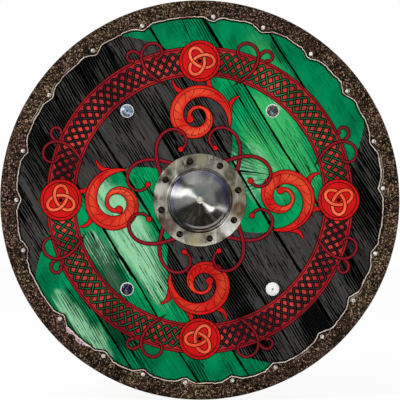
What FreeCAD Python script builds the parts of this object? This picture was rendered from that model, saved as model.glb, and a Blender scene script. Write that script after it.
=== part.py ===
"""Round plank shield with a pointed steel boss, a riveted hide rim, and a buckled arm strap and a hand grip behind.

The shield stands upright and faces -Y. The origin is the middle of the board's back face, where the forearm lies.
X runs to the right as seen from the front, and Z is up. Lengths are in millimetres, angles in degrees.
"""

import FreeCAD, Part

import math
import os

# Board of edge-glued planks, and the hide rim that is folded over its edge
shield_diameter = 610.0
hide_thickness = 2.5
hide_edge_round = 4.0
hide_edge_gap = 0.2
board_thickness = 12.0
plank_joint_gap = 0.2
plank_edge_chamfer = 1.2
plank_lean_angle = 31.6
seam_shares = (-0.743, -0.490, -0.254, 0.006, 0.240, 0.496, 0.745)

# Scalloped inner edge of the rim, and the rivet in each scallop
rim_width = 26.5
rim_bow = 1.0
scallop_half_width = 15.5
scallop_tip_radius = 7.5
rim_rivet_inset = 25.0
rim_rivet_angles = (
    3.6, 18.6, 36.4, 52.7, 69.8, 85.8, 108.3, 125.6, 145.2, 164.5, 180.0,
    195.9, 220.4, 238.3, 251.9, 265.4, 280.2, 294.3, 311.8, 326.8, 343.0,
)
rim_rivet_radius = 1.6
rim_rivet_head_radius = 3.3
rim_rivet_head_height = 2.0
rim_rivet_tail_radius = 2.8

# Boss: a flange, a short wall, a shoulder and a cone that runs up to a rounded point
boss_flange_radius = 71.0
boss_sheet = 1.8
boss_wall_radius = 49.5
boss_height = 47.0
boss_foot_round = 3.0
boss_shoulder_round = 6.0
boss_cone_round = 34.0
boss_nose_round = 7.0
boss_flange_edge_round = 0.7
boss_corner_radius_shares = (0.93, 0.52, 0.09)
boss_corner_height_shares = (0.37, 0.78)
boss_rivet_circle_radius = 60.5
boss_rivet_count = 8
boss_rivet_first_angle = 14.4
boss_rivet_radius = 2.5
boss_rivet_head_radius = 5.2
boss_rivet_head_height = 3.0
boss_rivet_tail_radius = 4.0
boss_rivet_tail_height = 2.2
rove_radius = 7.0
rove_thickness = 1.5
rivet_hole_clearance = 0.15

# Coach bolts that hold both straps, with their washers and nuts
strap_bolt_spacing_x = 222.0
strap_bolt_spacing_z = 272.0
bolt_radius = 4.0
bolt_length = 40.0
bolt_head_radius = 10.3
bolt_head_height = 4.9
bolt_neck_width = 8.6
bolt_neck_depth = 4.6
bolt_tip_chamfer = 0.8
bolt_hole_clearance = 0.25
washer_radius = 12.0
washer_thickness = 2.0
nut_across_flats = 13.0
nut_thickness = 6.5
nut_corner_chamfer = 0.7
nut_thread_clearance = 0.05

# Battens across the planks, under the straps, and the screws in them
batten_width = 46.0
batten_end_gap = 6.0
batten_thickness = 10.0
batten_end_thickness = 4.5
batten_end_taper = 26.0
batten_edge_chamfer = 2.0
batten_screw_place_shares = (0.14, 0.29, 0.70, 0.91)
batten_screw_stagger = 11.0
screw_radius = 2.0
screw_head_radius = 4.0
screw_head_depth = 2.2
screw_length = 18.0
screw_clearance = 0.05

# Arm strap: a leather arch in two halves that meet at a roller buckle
strap_width = 40.0
strap_thickness = 3.0
strap_tab_reach = 18.0
strap_tab_length = 38.0
strap_tab_corner_share = 0.7
strap_foot_round = 9.0
arch_rise = 80.0
arch_top_half_width = 52.0
arch_top_round = 24.0
layer_gap = 0.3
foldback_length = 34.0
foldback_rise_start = 5.0
foldback_rise_end = 15.0
billet_tail_drop = 52.0
billet_tip_corner_share = 0.85
billet_ramp_round = 8.0
billet_hole_radius = 2.2
billet_hole_pitch = 20.0
billet_hole_count = 2
keeper_length = 10.0
keeper_thickness = 2.0
keeper_gap = 0.3
keeper_setback = 21.0
keeper_corner_round = 2.0

# Roller buckle
buckle_wire_radius = 2.0
buckle_reach = 28.0
buckle_side_gap = 1.0
buckle_corner_round = 3.0
running_clearance = 0.08
roller_radius = 3.2
roller_end_gap = 0.4
tongue_width = 3.6
tongue_depth = 2.6
tongue_eye_wall = 2.5
tongue_overhang = 3.4
tongue_tip_droop = 1.0
tongue_slot_gap = 0.6
tongue_seat_gap = 0.3
frame_tilt_angle = 25.0
tongue_lift_angle = 45.0

# Hand grip: a stitched strap with a padded sleeve round its middle
grip_thickness = 4.0
grip_rise = 42.0
grip_top_half_width = 66.0
grip_top_round = 18.0
grip_waist_width = 26.0
grip_waist_half_length = 58.0
grip_waist_corner_share = 0.8
sleeve_length = 100.0
sleeve_width = 33.0
sleeve_depth = 18.0
sleeve_corner_round = 7.0
sleeve_gap = 0.15

# How far a cutting tool runs past what it cuts
overrun = 1.0

# Places that follow from the sizes above
shield_radius = shield_diameter / 2
board_radius = shield_radius - hide_thickness - hide_edge_gap
board_front = -board_thickness
hide_front = board_front - hide_thickness
rim_edge_radius = shield_radius - rim_width
rim_rivet_circle_radius = shield_radius - rim_rivet_inset
strap_seat = batten_thickness
rim_clear_radius = rim_rivet_circle_radius - scallop_tip_radius
upper_strap_height = strap_bolt_spacing_z / 2
lower_strap_height = -strap_bolt_spacing_z / 2
strap_bolt_x = strap_bolt_spacing_x / 2
batten_corner_height = upper_strap_height + batten_width / 2
batten_half_length = math.sqrt(rim_clear_radius ** 2 - batten_corner_height ** 2) - batten_end_gap

ORIGIN = FreeCAD.Vector(0, 0, 0)
ACROSS = FreeCAD.Vector(1, 0, 0)
BACKWARD = FreeCAD.Vector(0, 1, 0)
FORWARD = FreeCAD.Vector(0, -1, 0)
UP = FreeCAD.Vector(0, 0, 1)


def at(x, y, z=0):
    """A point of the shield."""
    return FreeCAD.Vector(x, y, z)


def on_circle(radius, angle, y=0):
    """A point on a circle round the shield's middle, its angle counted anticlockwise from +X as seen from the front."""
    turn = math.radians(angle)
    return at(radius * math.cos(turn), y, radius * math.sin(turn))


def unit(vector):
    """The same direction, one long."""
    return vector * (1 / vector.Length)


def left_of(direction):
    """The direction to the left of one in the XY plane."""
    return at(-direction.y, direction.x)


def rod(radius, start, stop):
    """A plain cylinder from one point to another."""
    along = stop - start
    return Part.makeCylinder(radius, along.Length, start, along)


def rounded_edges(corners, radii):
    """Lines along the corners, in the XY plane, with an arc of its own radius at each inner corner."""
    edges = []
    here = corners[0]
    for before, corner, after, radius in zip(corners, corners[1:], corners[2:], radii):
        coming = unit(corner - before)
        going = unit(after - corner)
        turn = coming.getAngle(going)
        reach = radius * math.tan(turn / 2)
        start = corner - coming * reach
        stop = corner + going * reach
        bulge = unit(coming - going) * (radius * (1 / math.cos(turn / 2) - 1))
        if (start - here).Length > radius / 1000:
            edges.append(Part.makeLine(here, start))
        edges.append(Part.Arc(start, corner - bulge, stop).toShape())
        here = stop
    edges.append(Part.makeLine(here, corners[-1]))
    return edges


def offset_corners(corners, distance):
    """The corners of a line that runs at one distance to the left of the line through these corners."""
    lefts = [left_of(unit(b - a)) for a, b in zip(corners, corners[1:])]
    moved = [corners[0] + lefts[0] * distance]
    for corner, first, second in zip(corners[1:], lefts, lefts[1:]):
        moved.append(corner + (first + second) * (distance / (1 + first.dot(second))))
    moved.append(corners[-1] + lefts[-1] * distance)
    return moved


def offset_radii(corners, radii, distance):
    """The corner radii of a line that runs at one distance to the left of the line through these corners."""
    moved = []
    for before, corner, after, radius in zip(corners, corners[1:], corners[2:], radii):
        turns_left = (corner - before).cross(after - corner).z > 0
        moved.append(radius - distance if turns_left else radius + distance)
    return moved


def band_face(corners, radii, thickness):
    """The section of a band, in the XY plane. Its thickness lies to the left of the corners, or to the right if negative."""
    near = rounded_edges(corners, radii)
    far_corners = offset_corners(corners, thickness)
    far = rounded_edges(far_corners, offset_radii(corners, radii, thickness))
    ends = [Part.makeLine(corners[0], far_corners[0]), Part.makeLine(corners[-1], far_corners[-1])]
    return Part.Face(Part.Wire(Part.__sortEdges__(near + far + ends)))


def strap_band(corners, radii, thickness, width):
    """A strap that follows the corners, centred on the XY plane."""
    face = band_face(corners, radii, thickness)
    face.translate(UP * (-width / 2))
    return face.extrude(UP * width)


def round_strap_end(strap, end, corner_share):
    """Rounds the two corners of a strap's end, by a share of half its width. The end is its face's middle."""
    corners = [
        edge for edge in strap.Edges
        if abs((edge.CenterOfMass - end).Length - strap_width / 2) < strap_thickness / 10
        and abs(abs(edge.CenterOfMass.z) - strap_width / 2) < strap_thickness / 10
    ]
    return strap.makeFillet(corner_share * strap_width / 2, corners)


def turned(points_and_arcs):
    """A solid turned round the Y axis from a closed outline of edges in the XY plane."""
    face = Part.Face(Part.Wire(Part.__sortEdges__(points_and_arcs)))
    return face.revolve(ORIGIN, BACKWARD, 360)


def polygon_edges(corners):
    """The sides of a closed polygon."""
    return [Part.makeLine(a, b) for a, b in zip(corners, corners[1:] + corners[:1])]


def dome(radius, height, centre, direction):
    """A low round head on a plane through its centre, rising along +Y or -Y."""
    top = at(0, height * direction.y)
    ball_radius = (radius ** 2 + height ** 2) / (2 * height)
    share = math.atan2(radius, ball_radius - height) / 2
    middle = at(
        ball_radius * math.sin(share),
        (ball_radius * math.cos(share) - ball_radius + height) * direction.y,
    )
    edges = [
        Part.makeLine(ORIGIN, at(radius, 0)),
        Part.Arc(at(radius, 0), middle, top).toShape(),
        Part.makeLine(top, ORIGIN),
    ]
    cap = turned(edges)
    cap.translate(centre)
    return cap


def cone_end(small_radius, large_radius, depth, face_centre):
    """A countersunk end whose wide face looks backward at the given centre."""
    return Part.makeCone(small_radius, large_radius, depth, face_centre - BACKWARD * depth, BACKWARD)


def group(solids):
    """Several separate solids in one node."""
    return Part.makeCompound(solids)


def rim_rivet_centres():
    """Where each rim rivet's axis crosses the board's back face."""
    return [on_circle(rim_rivet_circle_radius, angle) for angle in rim_rivet_angles]


def boss_rivet_centres():
    """Where each boss rivet's axis crosses the board's back face."""
    step = 360 / boss_rivet_count
    return [
        on_circle(boss_rivet_circle_radius, boss_rivet_first_angle + step * k)
        for k in range(boss_rivet_count)
    ]


def strap_bolt_centres():
    """Where each strap bolt's axis crosses the board's back face."""
    return [
        at(side * strap_bolt_x, 0, height)
        for height in (upper_strap_height, lower_strap_height)
        for side in (-1, 1)
    ]


def batten_screw_centres(height):
    """Where the screws of the batten at this height enter its back face, staggered up and down."""
    places = []
    for k, share in enumerate(batten_screw_place_shares):
        x = share * batten_half_length
        lift = batten_screw_stagger if k % 2 else -batten_screw_stagger
        places += [at(x, batten_thickness, height + lift), at(-x, batten_thickness, height - lift)]
    return places


def rim_rivet_holes():
    """Tools that cut the rim rivets' holes through hide and planks, flared in the hide at the back."""
    tools = []
    for centre in rim_rivet_centres():
        start = centre + BACKWARD * (hide_front - overrun)
        stop = centre + BACKWARD * (hide_thickness + overrun)
        tools.append(rod(rim_rivet_radius + rivet_hole_clearance, start, stop))
        tools.append(cone_end(
            rim_rivet_radius + rivet_hole_clearance,
            rim_rivet_tail_radius + rivet_hole_clearance,
            hide_thickness,
            centre + BACKWARD * hide_thickness,
        ))
    return tools


def board_holes():
    """Tools that cut every hole through the planks."""
    through = BACKWARD * overrun
    front_plane = BACKWARD * (board_front - overrun)
    tools = rim_rivet_holes()
    tools += [
        rod(boss_rivet_radius + rivet_hole_clearance, centre + front_plane, centre + through)
        for centre in boss_rivet_centres()
    ]
    for centre in strap_bolt_centres():
        tools.append(rod(bolt_radius + bolt_hole_clearance, centre + front_plane, centre + through))
        tools.append(square_neck(centre, bolt_neck_width, board_front - overrun))
    for height in (upper_strap_height, lower_strap_height):
        tools += [screw_shape(centre, screw_clearance) for centre in batten_screw_centres(height)]
    return tools


def square_neck(centre, width, front):
    """The square under a coach bolt's head, from a given depth in front to the neck's end in the board."""
    depth = board_front + bolt_neck_depth - front
    return Part.makeBox(width, depth, width, centre + at(-width / 2, front, -width / 2))


def make_planks():
    """The board: planks side by side, leaning with the grain, with eased front edges along the seams."""
    seams = [share * board_radius for share in seam_shares]
    reach = board_radius + overrun
    edges = [-reach] + seams + [reach]
    disc = rod(board_radius, at(0, board_front), ORIGIN)
    holes = Part.makeCompound(board_holes())
    planks = []
    for left, right in zip(edges, edges[1:]):
        low = left + plank_joint_gap / 2
        high = right - plank_joint_gap / 2
        corners = [
            at(low, 0),
            at(high, 0),
            at(high, board_front + plank_edge_chamfer),
            at(high - plank_edge_chamfer, board_front),
            at(low + plank_edge_chamfer, board_front),
            at(low, board_front + plank_edge_chamfer),
        ]
        section = Part.Face(Part.Wire(polygon_edges(corners)))
        section.translate(UP * -reach)
        plank = section.extrude(UP * (2 * reach)).common(disc)
        plank.rotate(ORIGIN, FORWARD, plank_lean_angle)
        planks.append(plank.cut(holes))
    return planks


def scallop_edges(angle):
    """One scallop of the rim's inner edge, as (start, edges, stop): two flanks that touch the round tip."""
    half_turn = math.degrees(scallop_half_width / rim_edge_radius)
    centre = on_circle(rim_rivet_circle_radius, angle)
    inward = unit(centre) * -1
    ends = []
    touches = []
    for side in (-1, 1):
        end = on_circle(rim_edge_radius, angle + side * half_turn)
        away = end - centre
        turn = math.degrees(math.acos(scallop_tip_radius / away.Length))
        options = [
            FreeCAD.Rotation(BACKWARD, sign * turn).multVec(unit(away)) * scallop_tip_radius
            for sign in (-1, 1)
        ]
        touches.append(centre + max(options, key=lambda option: option.dot(inward)))
        ends.append(end)
    tip = centre + inward * scallop_tip_radius
    edges = [
        Part.makeLine(ends[0], touches[0]),
        Part.Arc(touches[0], tip, touches[1]).toShape(),
        Part.makeLine(touches[1], ends[1]),
    ]
    return ends[0], edges, ends[1]


def rim_opening():
    """The prism that opens both flanges of the rim along the scalloped edge."""
    scallops = [scallop_edges(angle) for angle in rim_rivet_angles]
    edges = []
    spans = zip(rim_rivet_angles, rim_rivet_angles[1:] + (rim_rivet_angles[0] + 360,))
    for k, (angle, next_angle) in enumerate(spans):
        crown = on_circle(rim_edge_radius + rim_bow, (angle + next_angle) / 2)
        following = scallops[(k + 1) % len(scallops)][0]
        edges += scallops[k][1]
        edges.append(Part.Arc(scallops[k][2], crown, following).toShape())
    face = Part.Face(Part.Wire(edges))
    face.translate(BACKWARD * (hide_front - overrun))
    return face.extrude(BACKWARD * (board_thickness + 2 * hide_thickness + 2 * overrun))


def make_rim_hide():
    """The strip of hide that is folded over the board's edge, front and back, with its holes."""
    skin = rod(shield_radius, at(0, hide_front), at(0, hide_thickness))
    corners = [edge for edge in skin.Edges if len(edge.Vertexes) == 1]
    skin = skin.makeFillet(hide_edge_round, corners)
    board_space = rod(board_radius + hide_edge_gap, at(0, board_front), ORIGIN)
    return skin.cut([board_space, rim_opening()] + rim_rivet_holes())


def make_rim_rivets():
    """A domed rivet through each scallop, its tail spread flush in the hide at the back."""
    rivets = []
    for centre in rim_rivet_centres():
        seat = centre + BACKWARD * hide_front
        tail = centre + BACKWARD * hide_thickness
        rivet = rod(rim_rivet_radius, seat, tail)
        rivet = rivet.fuse(dome(rim_rivet_head_radius, rim_rivet_head_height, seat, FORWARD))
        flare = cone_end(rim_rivet_radius, rim_rivet_tail_radius, hide_thickness, tail)
        rivets.append(rivet.fuse(flare).removeSplitter())
    return group(rivets)


def boss_outline():
    """The corners and radii of the boss's outer surface, from the flange's edge in to the point."""
    skin = board_front - boss_sheet
    shoulder, cone, nose = [share * boss_wall_radius for share in boss_corner_radius_shares]
    shoulder_height, cone_height = [share * boss_height for share in boss_corner_height_shares]
    point = board_front - boss_height
    corners = [
        at(boss_flange_radius, skin),
        at(boss_wall_radius, skin),
        at(shoulder, board_front - shoulder_height),
        at(cone, board_front - cone_height),
        at(nose, point),
        at(0, point),
    ]
    return corners, [boss_foot_round, boss_shoulder_round, boss_cone_round, boss_nose_round]


def make_boss():
    """The boss, one sheet all over, with a hole for each rivet in its flange."""
    corners, radii = boss_outline()
    shell = band_face(corners, radii, -boss_sheet).revolve(ORIGIN, BACKWARD, 360)
    rims = [
        edge for edge in shell.Edges
        if len(edge.Vertexes) == 1
        and abs(edge.BoundBox.XMax - boss_flange_radius) < boss_sheet / 10
        and edge.BoundBox.YMin < board_front - boss_sheet / 2
    ]
    shell = shell.makeFillet(boss_flange_edge_round, rims)
    holes = [
        rod(
            boss_rivet_radius + rivet_hole_clearance,
            centre + BACKWARD * (board_front - boss_sheet - overrun),
            centre + BACKWARD * (board_front + overrun),
        )
        for centre in boss_rivet_centres()
    ]
    return shell.cut(holes)


def make_boss_rivets():
    """Round-headed rivets through the flange and the board, hammered over the roves at the back."""
    rivets = []
    for centre in boss_rivet_centres():
        seat = centre + BACKWARD * (board_front - boss_sheet)
        tail = centre + BACKWARD * rove_thickness
        rivet = rod(boss_rivet_radius, seat, tail)
        rivet = rivet.fuse(dome(boss_rivet_head_radius, boss_rivet_head_height, seat, FORWARD))
        rivet = rivet.fuse(dome(boss_rivet_tail_radius, boss_rivet_tail_height, tail, BACKWARD))
        rivets.append(rivet.removeSplitter())
    return group(rivets)


def make_boss_roves():
    """The small washers that the boss rivets are hammered over."""
    hole = boss_rivet_radius + rivet_hole_clearance
    return group([
        rod(rove_radius, centre, centre + BACKWARD * rove_thickness).cut(
            rod(hole, centre - BACKWARD * overrun, centre + BACKWARD * (rove_thickness + overrun))
        )
        for centre in boss_rivet_centres()
    ])


def strap_layer(centre):
    """How thick the strap is at this bolt: the grip is above, the arm strap below."""
    return grip_thickness if centre.z > 0 else strap_thickness


def make_strap_bolts():
    """Coach bolts from the front: a low domed head, a square neck in the plank and a plain shank."""
    bolts = []
    for centre in strap_bolt_centres():
        seat = centre + BACKWARD * board_front
        tip = seat + BACKWARD * bolt_length
        neck_end = tip - BACKWARD * bolt_tip_chamfer
        bolt = rod(bolt_radius, seat, neck_end)
        point = Part.makeCone(bolt_radius, bolt_radius - bolt_tip_chamfer, bolt_tip_chamfer, neck_end, BACKWARD)
        bolt = bolt.fuse(point)
        neck_width = bolt_neck_width - 2 * bolt_hole_clearance
        bolt = bolt.fuse(square_neck(centre, neck_width, board_front))
        bolt = bolt.fuse(dome(bolt_head_radius, bolt_head_height, seat, FORWARD))
        bolts.append(bolt.removeSplitter())
    return group(bolts)


def make_strap_washers():
    """A wide washer on the leather at each bolt."""
    washers = []
    for centre in strap_bolt_centres():
        seat = centre + BACKWARD * (strap_seat + strap_layer(centre))
        stop = seat + BACKWARD * washer_thickness
        hole = rod(bolt_radius + bolt_hole_clearance, seat - BACKWARD * overrun, stop + BACKWARD * overrun)
        washers.append(rod(washer_radius, seat, stop).cut(hole))
    return group(washers)


def make_strap_nuts():
    """A hexagon nut on each washer, with its corners turned down at both faces."""
    corner_radius = nut_across_flats / math.sqrt(3)
    nuts = []
    for centre in strap_bolt_centres():
        seat = centre + BACKWARD * (strap_seat + strap_layer(centre) + washer_thickness)
        stop = seat + BACKWARD * nut_thickness
        corners = [seat + on_circle(corner_radius, 60 * k) for k in range(6)]
        blank = Part.Face(Part.Wire(polygon_edges(corners))).extrude(BACKWARD * nut_thickness)
        barrel = rod(corner_radius, seat, stop)
        barrel = barrel.makeChamfer(nut_corner_chamfer, [e for e in barrel.Edges if len(e.Vertexes) == 1])
        bore = rod(bolt_radius + nut_thread_clearance, seat - BACKWARD * overrun, stop + BACKWARD * overrun)
        nuts.append(blank.common(barrel).cut(bore))
    return group(nuts)


def screw_shape(centre, clearance):
    """A countersunk wood screw from its head's face forward, or its hole if a clearance is given."""
    face = centre
    point = centre - BACKWARD * (screw_length + clearance)
    shank = rod(screw_radius + clearance, point, face)
    head = cone_end(screw_radius + clearance, screw_head_radius + clearance, screw_head_depth, face)
    return shank.fuse(head).removeSplitter()


def make_batten(height):
    """One batten across the planks, thinner at its ends, with eased back edges and its holes."""
    half = batten_half_length
    corners = [
        at(-half, 0),
        at(half, 0),
        at(half, batten_end_thickness),
        at(half - batten_end_taper, batten_thickness),
        at(batten_end_taper - half, batten_thickness),
        at(-half, batten_end_thickness),
    ]
    face = Part.Face(Part.Wire(polygon_edges(corners)))
    face.translate(UP * (height - batten_width / 2))
    batten = face.extrude(UP * batten_width)
    long_edges = [
        edge for edge in batten.Edges
        if abs(edge.Length - 2 * (half - batten_end_taper)) < overrun
        and edge.CenterOfMass.y > batten_thickness / 2
    ]
    batten = batten.makeChamfer(batten_edge_chamfer, long_edges)
    tools = [screw_shape(centre, screw_clearance) for centre in batten_screw_centres(height)]
    tools += [
        rod(
            bolt_radius + bolt_hole_clearance,
            centre - BACKWARD * overrun,
            centre + BACKWARD * (batten_thickness + overrun),
        )
        for centre in strap_bolt_centres()
        if centre.z * height > 0
    ]
    return batten.cut(tools)


def make_batten_screws():
    """The screws of both battens."""
    return group([
        screw_shape(centre, 0)
        for height in (upper_strap_height, lower_strap_height)
        for centre in batten_screw_centres(height)
    ])


def bolt_tool(x, top):
    """The tool for a bolt's hole through a strap's tab at the middle height of the strap."""
    radius = bolt_radius + bolt_hole_clearance
    return rod(radius, at(x, strap_seat - overrun), at(x, top + overrun))


# The arm strap's arch, in the XY plane: w counts outward from the board, u along X from the buckle's bar
arch_floor = strap_seat + arch_rise
main_underside = arch_floor + strap_thickness + 2 * layer_gap
bar_pocket_radius = buckle_wire_radius + running_clearance
bar_height = main_underside - bar_pocket_radius
tab_end_x = strap_bolt_x + strap_tab_reach
tab_bend_x = tab_end_x - strap_tab_length
roller_height = arch_floor + strap_thickness + layer_gap + roller_radius
frame_length = math.hypot(buckle_reach, roller_height - bar_height)
frame_angle = math.degrees(math.atan2(roller_height - bar_height, buckle_reach))
eye_radius = buckle_wire_radius + running_clearance + tongue_eye_wall
tongue_underside = eye_radius - tongue_depth
tongue_lift = math.degrees(math.asin((roller_radius + tongue_seat_gap - tongue_underside) / frame_length))
tongue_angle = frame_angle + tongue_lift
tongue_slot_width = tongue_width + 2 * tongue_slot_gap
billet_floor = main_underside + strap_thickness + layer_gap
ramp_top = bar_pocket_radius + strap_thickness / 2
ramp_slope = (billet_floor - arch_floor) / (buckle_reach - roller_radius - ramp_top)


def chape_corners():
    """The underside of the buckle half, from its tab up the arch and back round the buckle's bar."""
    fold_floor = main_underside - 2 * bar_pocket_radius
    return [
        at(-tab_end_x, strap_seat),
        at(-tab_bend_x, strap_seat),
        at(-arch_top_half_width, main_underside),
        at(bar_pocket_radius, main_underside),
        at(bar_pocket_radius, fold_floor),
        at(-foldback_rise_start, fold_floor),
        at(-foldback_rise_end, main_underside - layer_gap),
        at(-foldback_length, main_underside - layer_gap),
    ]


def make_chape():
    """The half of the arm strap that holds the buckle: folded round the bar, slotted for the tongue."""
    corners = chape_corners()
    radii = [
        strap_foot_round,
        arch_top_round,
        bar_pocket_radius,
        bar_pocket_radius,
        strap_foot_round,
        strap_foot_round,
    ]
    strap = strap_band(corners, radii, strap_thickness, strap_width)
    end = corners[0] + BACKWARD * (strap_thickness / 2)
    strap = round_strap_end(strap, end, strap_tab_corner_share)
    slot_length = 2 * (eye_radius + tongue_slot_gap)
    slot_depth = 2 * (bar_pocket_radius + strap_thickness + overrun)
    slot = Part.makeBox(
        slot_length + strap_thickness,
        slot_depth,
        tongue_slot_width,
        at(-slot_length / 2, bar_height - slot_depth / 2, -tongue_slot_width / 2),
    )
    strap = strap.cut([slot, bolt_tool(-strap_bolt_x, strap_seat + strap_thickness)])
    strap.translate(UP * lower_strap_height)
    return strap


def billet_corners():
    """The underside of the billet half, from its tab up the arch, under the roller and over the other half."""
    left_arch = offset_corners(chape_corners()[:4], strap_thickness + layer_gap)
    downhill = unit(left_arch[1] - left_arch[2])
    return [
        at(tab_end_x, strap_seat),
        at(tab_bend_x, strap_seat),
        at(arch_top_half_width, arch_floor),
        at(buckle_reach - roller_radius, arch_floor),
        at(ramp_top, billet_floor),
        left_arch[2],
        left_arch[2] + downhill * (billet_tail_drop + arch_top_round),
    ]


def billet_slot():
    """A tool with round ends that cuts the tongue's slot through the top of the arch."""
    start, stop = tongue_slot_ends()
    low = arch_floor - overrun
    high = billet_floor + strap_thickness + overrun
    reach = tongue_slot_width / 2
    corner_reach = reach - math.sqrt(reach ** 2 - (tongue_width / 2) ** 2)
    first = start - corner_reach + reach
    last = stop + corner_reach - reach
    box = Part.makeBox(last - first, high - low, tongue_slot_width, at(first, low, -reach))
    return box.fuse([rod(reach, at(x, low), at(x, high)) for x in (first, last)])


def tongue_slot_ends():
    """Where the tongue's slot in the billet starts and stops along X, so that the tongue can swing up in it."""
    steep = math.radians(tongue_angle + frame_tilt_angle + tongue_lift_angle)
    floor_height = billet_floor - bar_height
    back_line_height = floor_height - eye_radius * math.cos(steep)
    start = back_line_height / math.tan(steep) - eye_radius * math.sin(steep)
    shallow = math.radians(tongue_angle)
    ramp_thickness = strap_thickness / math.cos(math.atan(ramp_slope))
    ramp_line_height = floor_height + ramp_slope * ramp_top + ramp_thickness
    blade_line_height = tongue_underside / math.cos(shallow)
    stop = (ramp_line_height - blade_line_height) / (ramp_slope + math.tan(shallow))
    return start - tongue_slot_gap, stop + tongue_slot_gap


def billet_tail_holes():
    """Tools for the spare buckle holes in the billet's tail, where it lies down the arch."""
    knee, tip = billet_corners()[-2:]
    downhill = unit(tip - knee)
    outward = left_of(downhill) * -1
    first = knee + downhill * arch_top_round
    return [
        rod(
            billet_hole_radius,
            first + downhill * (billet_hole_pitch * k) - outward * (layer_gap / 2),
            first + downhill * (billet_hole_pitch * k) + outward * (strap_thickness + overrun),
        )
        for k in range(billet_hole_count)
    ]


def make_billet():
    """The plain half of the arm strap: it runs under the roller, over the bar and on through the keeper."""
    corners = billet_corners()
    radii = [
        strap_foot_round + strap_thickness,
        arch_top_round,
        billet_ramp_round,
        billet_ramp_round,
        arch_top_round + strap_thickness + layer_gap,
    ]
    strap = strap_band(corners, radii, -strap_thickness, strap_width)
    tab_end = corners[0] + BACKWARD * (strap_thickness / 2)
    strap = round_strap_end(strap, tab_end, strap_tab_corner_share)
    tip_direction = unit(corners[-1] - corners[-2])
    tip = corners[-1] - left_of(tip_direction) * (strap_thickness / 2)
    strap = round_strap_end(strap, tip, billet_tip_corner_share)
    tools = [bolt_tool(strap_bolt_x, strap_seat + strap_thickness), billet_slot()]
    strap = strap.cut(tools + billet_tail_holes())
    strap.translate(UP * lower_strap_height)
    return strap


def make_keeper():
    """The leather loop that holds the billet down on the buckle half."""
    low = arch_floor - keeper_gap
    high = billet_floor + strap_thickness + keeper_gap
    half = strap_width / 2 + keeper_gap
    inner = Part.makeBox(
        keeper_length + 2 * overrun, high - low, 2 * half,
        at(-keeper_setback - keeper_length - overrun, low, -half),
    )
    outer = Part.makeBox(
        keeper_length, high - low + 2 * keeper_thickness, 2 * (half + keeper_thickness),
        at(-keeper_setback - keeper_length, low - keeper_thickness, -half - keeper_thickness),
    )
    outer = outer.makeFillet(
        keeper_corner_round,
        [edge for edge in outer.Edges if abs(edge.Length - keeper_length) < keeper_gap
         and abs(edge.tangentAt(edge.FirstParameter).x) > abs(edge.tangentAt(edge.FirstParameter).y)],
    )
    keeper = outer.cut(inner)
    keeper.translate(UP * lower_strap_height)
    return keeper


def place_on_bar(solid, angle):
    """Turns a piece drawn along +X about the buckle's bar, and moves it to the bar."""
    solid.rotate(ORIGIN, UP, angle)
    solid.translate(at(0, bar_height, lower_strap_height))
    return solid


def make_buckle_frame():
    """The buckle's frame: one ring of round wire with tight corners."""
    half = strap_width / 2 + buckle_side_gap + buckle_wire_radius
    ring = [
        at(0, 0, -half),
        at(frame_length, 0, -half),
        at(frame_length, 0, half),
        at(0, 0, half),
    ]
    middle = frame_length / 2
    edges = []
    here = at(middle, 0, -half)
    for corner, after in zip(ring[1:] + ring[:1], ring[2:] + ring[:2]):
        coming = unit(corner - here)
        going = unit(after - corner)
        start = corner - coming * buckle_corner_round
        stop = corner + going * buckle_corner_round
        centre = start + going * buckle_corner_round
        bend = centre + unit(coming - going) * buckle_corner_round
        edges.append(Part.makeLine(here, start))
        edges.append(Part.Arc(start, bend, stop).toShape())
        here = stop
    edges.append(Part.makeLine(here, at(middle, 0, -half)))
    path = Part.Wire(edges)
    profile = Part.Wire(Part.makeCircle(buckle_wire_radius, at(middle, 0, -half), ACROSS))
    frame = path.makePipeShell([profile], True, False)
    return place_on_bar(Part.makeSolid(frame) if frame.ShapeType == "Shell" else frame, frame_angle)


def make_roller():
    """The tube that turns on the frame's front bar."""
    straight = strap_width / 2 + buckle_side_gap + buckle_wire_radius - buckle_corner_round
    half = straight - roller_end_gap
    tube = rod(roller_radius, at(frame_length, 0, -half), at(frame_length, 0, half))
    bore = rod(
        buckle_wire_radius + running_clearance,
        at(frame_length, 0, -half - overrun),
        at(frame_length, 0, half + overrun),
    )
    return place_on_bar(tube.cut(bore), frame_angle)


def make_tongue():
    """The tongue: an eye round the bar and a blade that lies on the roller, its tip bent down a little."""
    tip = frame_length + roller_radius + tongue_overhang
    bend = frame_length + roller_radius / 2
    corners = [
        at(0, tongue_underside),
        at(bend, tongue_underside),
        at(tip, tongue_underside - tongue_tip_droop),
        at(tip, tongue_underside + tongue_depth / 2 - tongue_tip_droop),
        at(bend, eye_radius),
        at(0, eye_radius),
    ]
    blade = Part.Face(Part.Wire(polygon_edges(corners))).extrude(UP * tongue_width)
    eye = Part.makeCylinder(eye_radius, tongue_width)
    bore = Part.makeCylinder(buckle_wire_radius + running_clearance, tongue_width)
    tongue = blade.fuse(eye).cut(bore).removeSplitter()
    tongue.translate(UP * (-tongue_width / 2))
    return place_on_bar(tongue, tongue_angle)


def grip_corners():
    """The underside of the hand grip's strap, from one tab over to the other."""
    left = [
        at(-tab_end_x, strap_seat),
        at(-tab_bend_x, strap_seat),
        at(-grip_top_half_width, strap_seat + grip_rise),
    ]
    return left + [at(-point.x, point.y) for point in reversed(left)]


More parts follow.
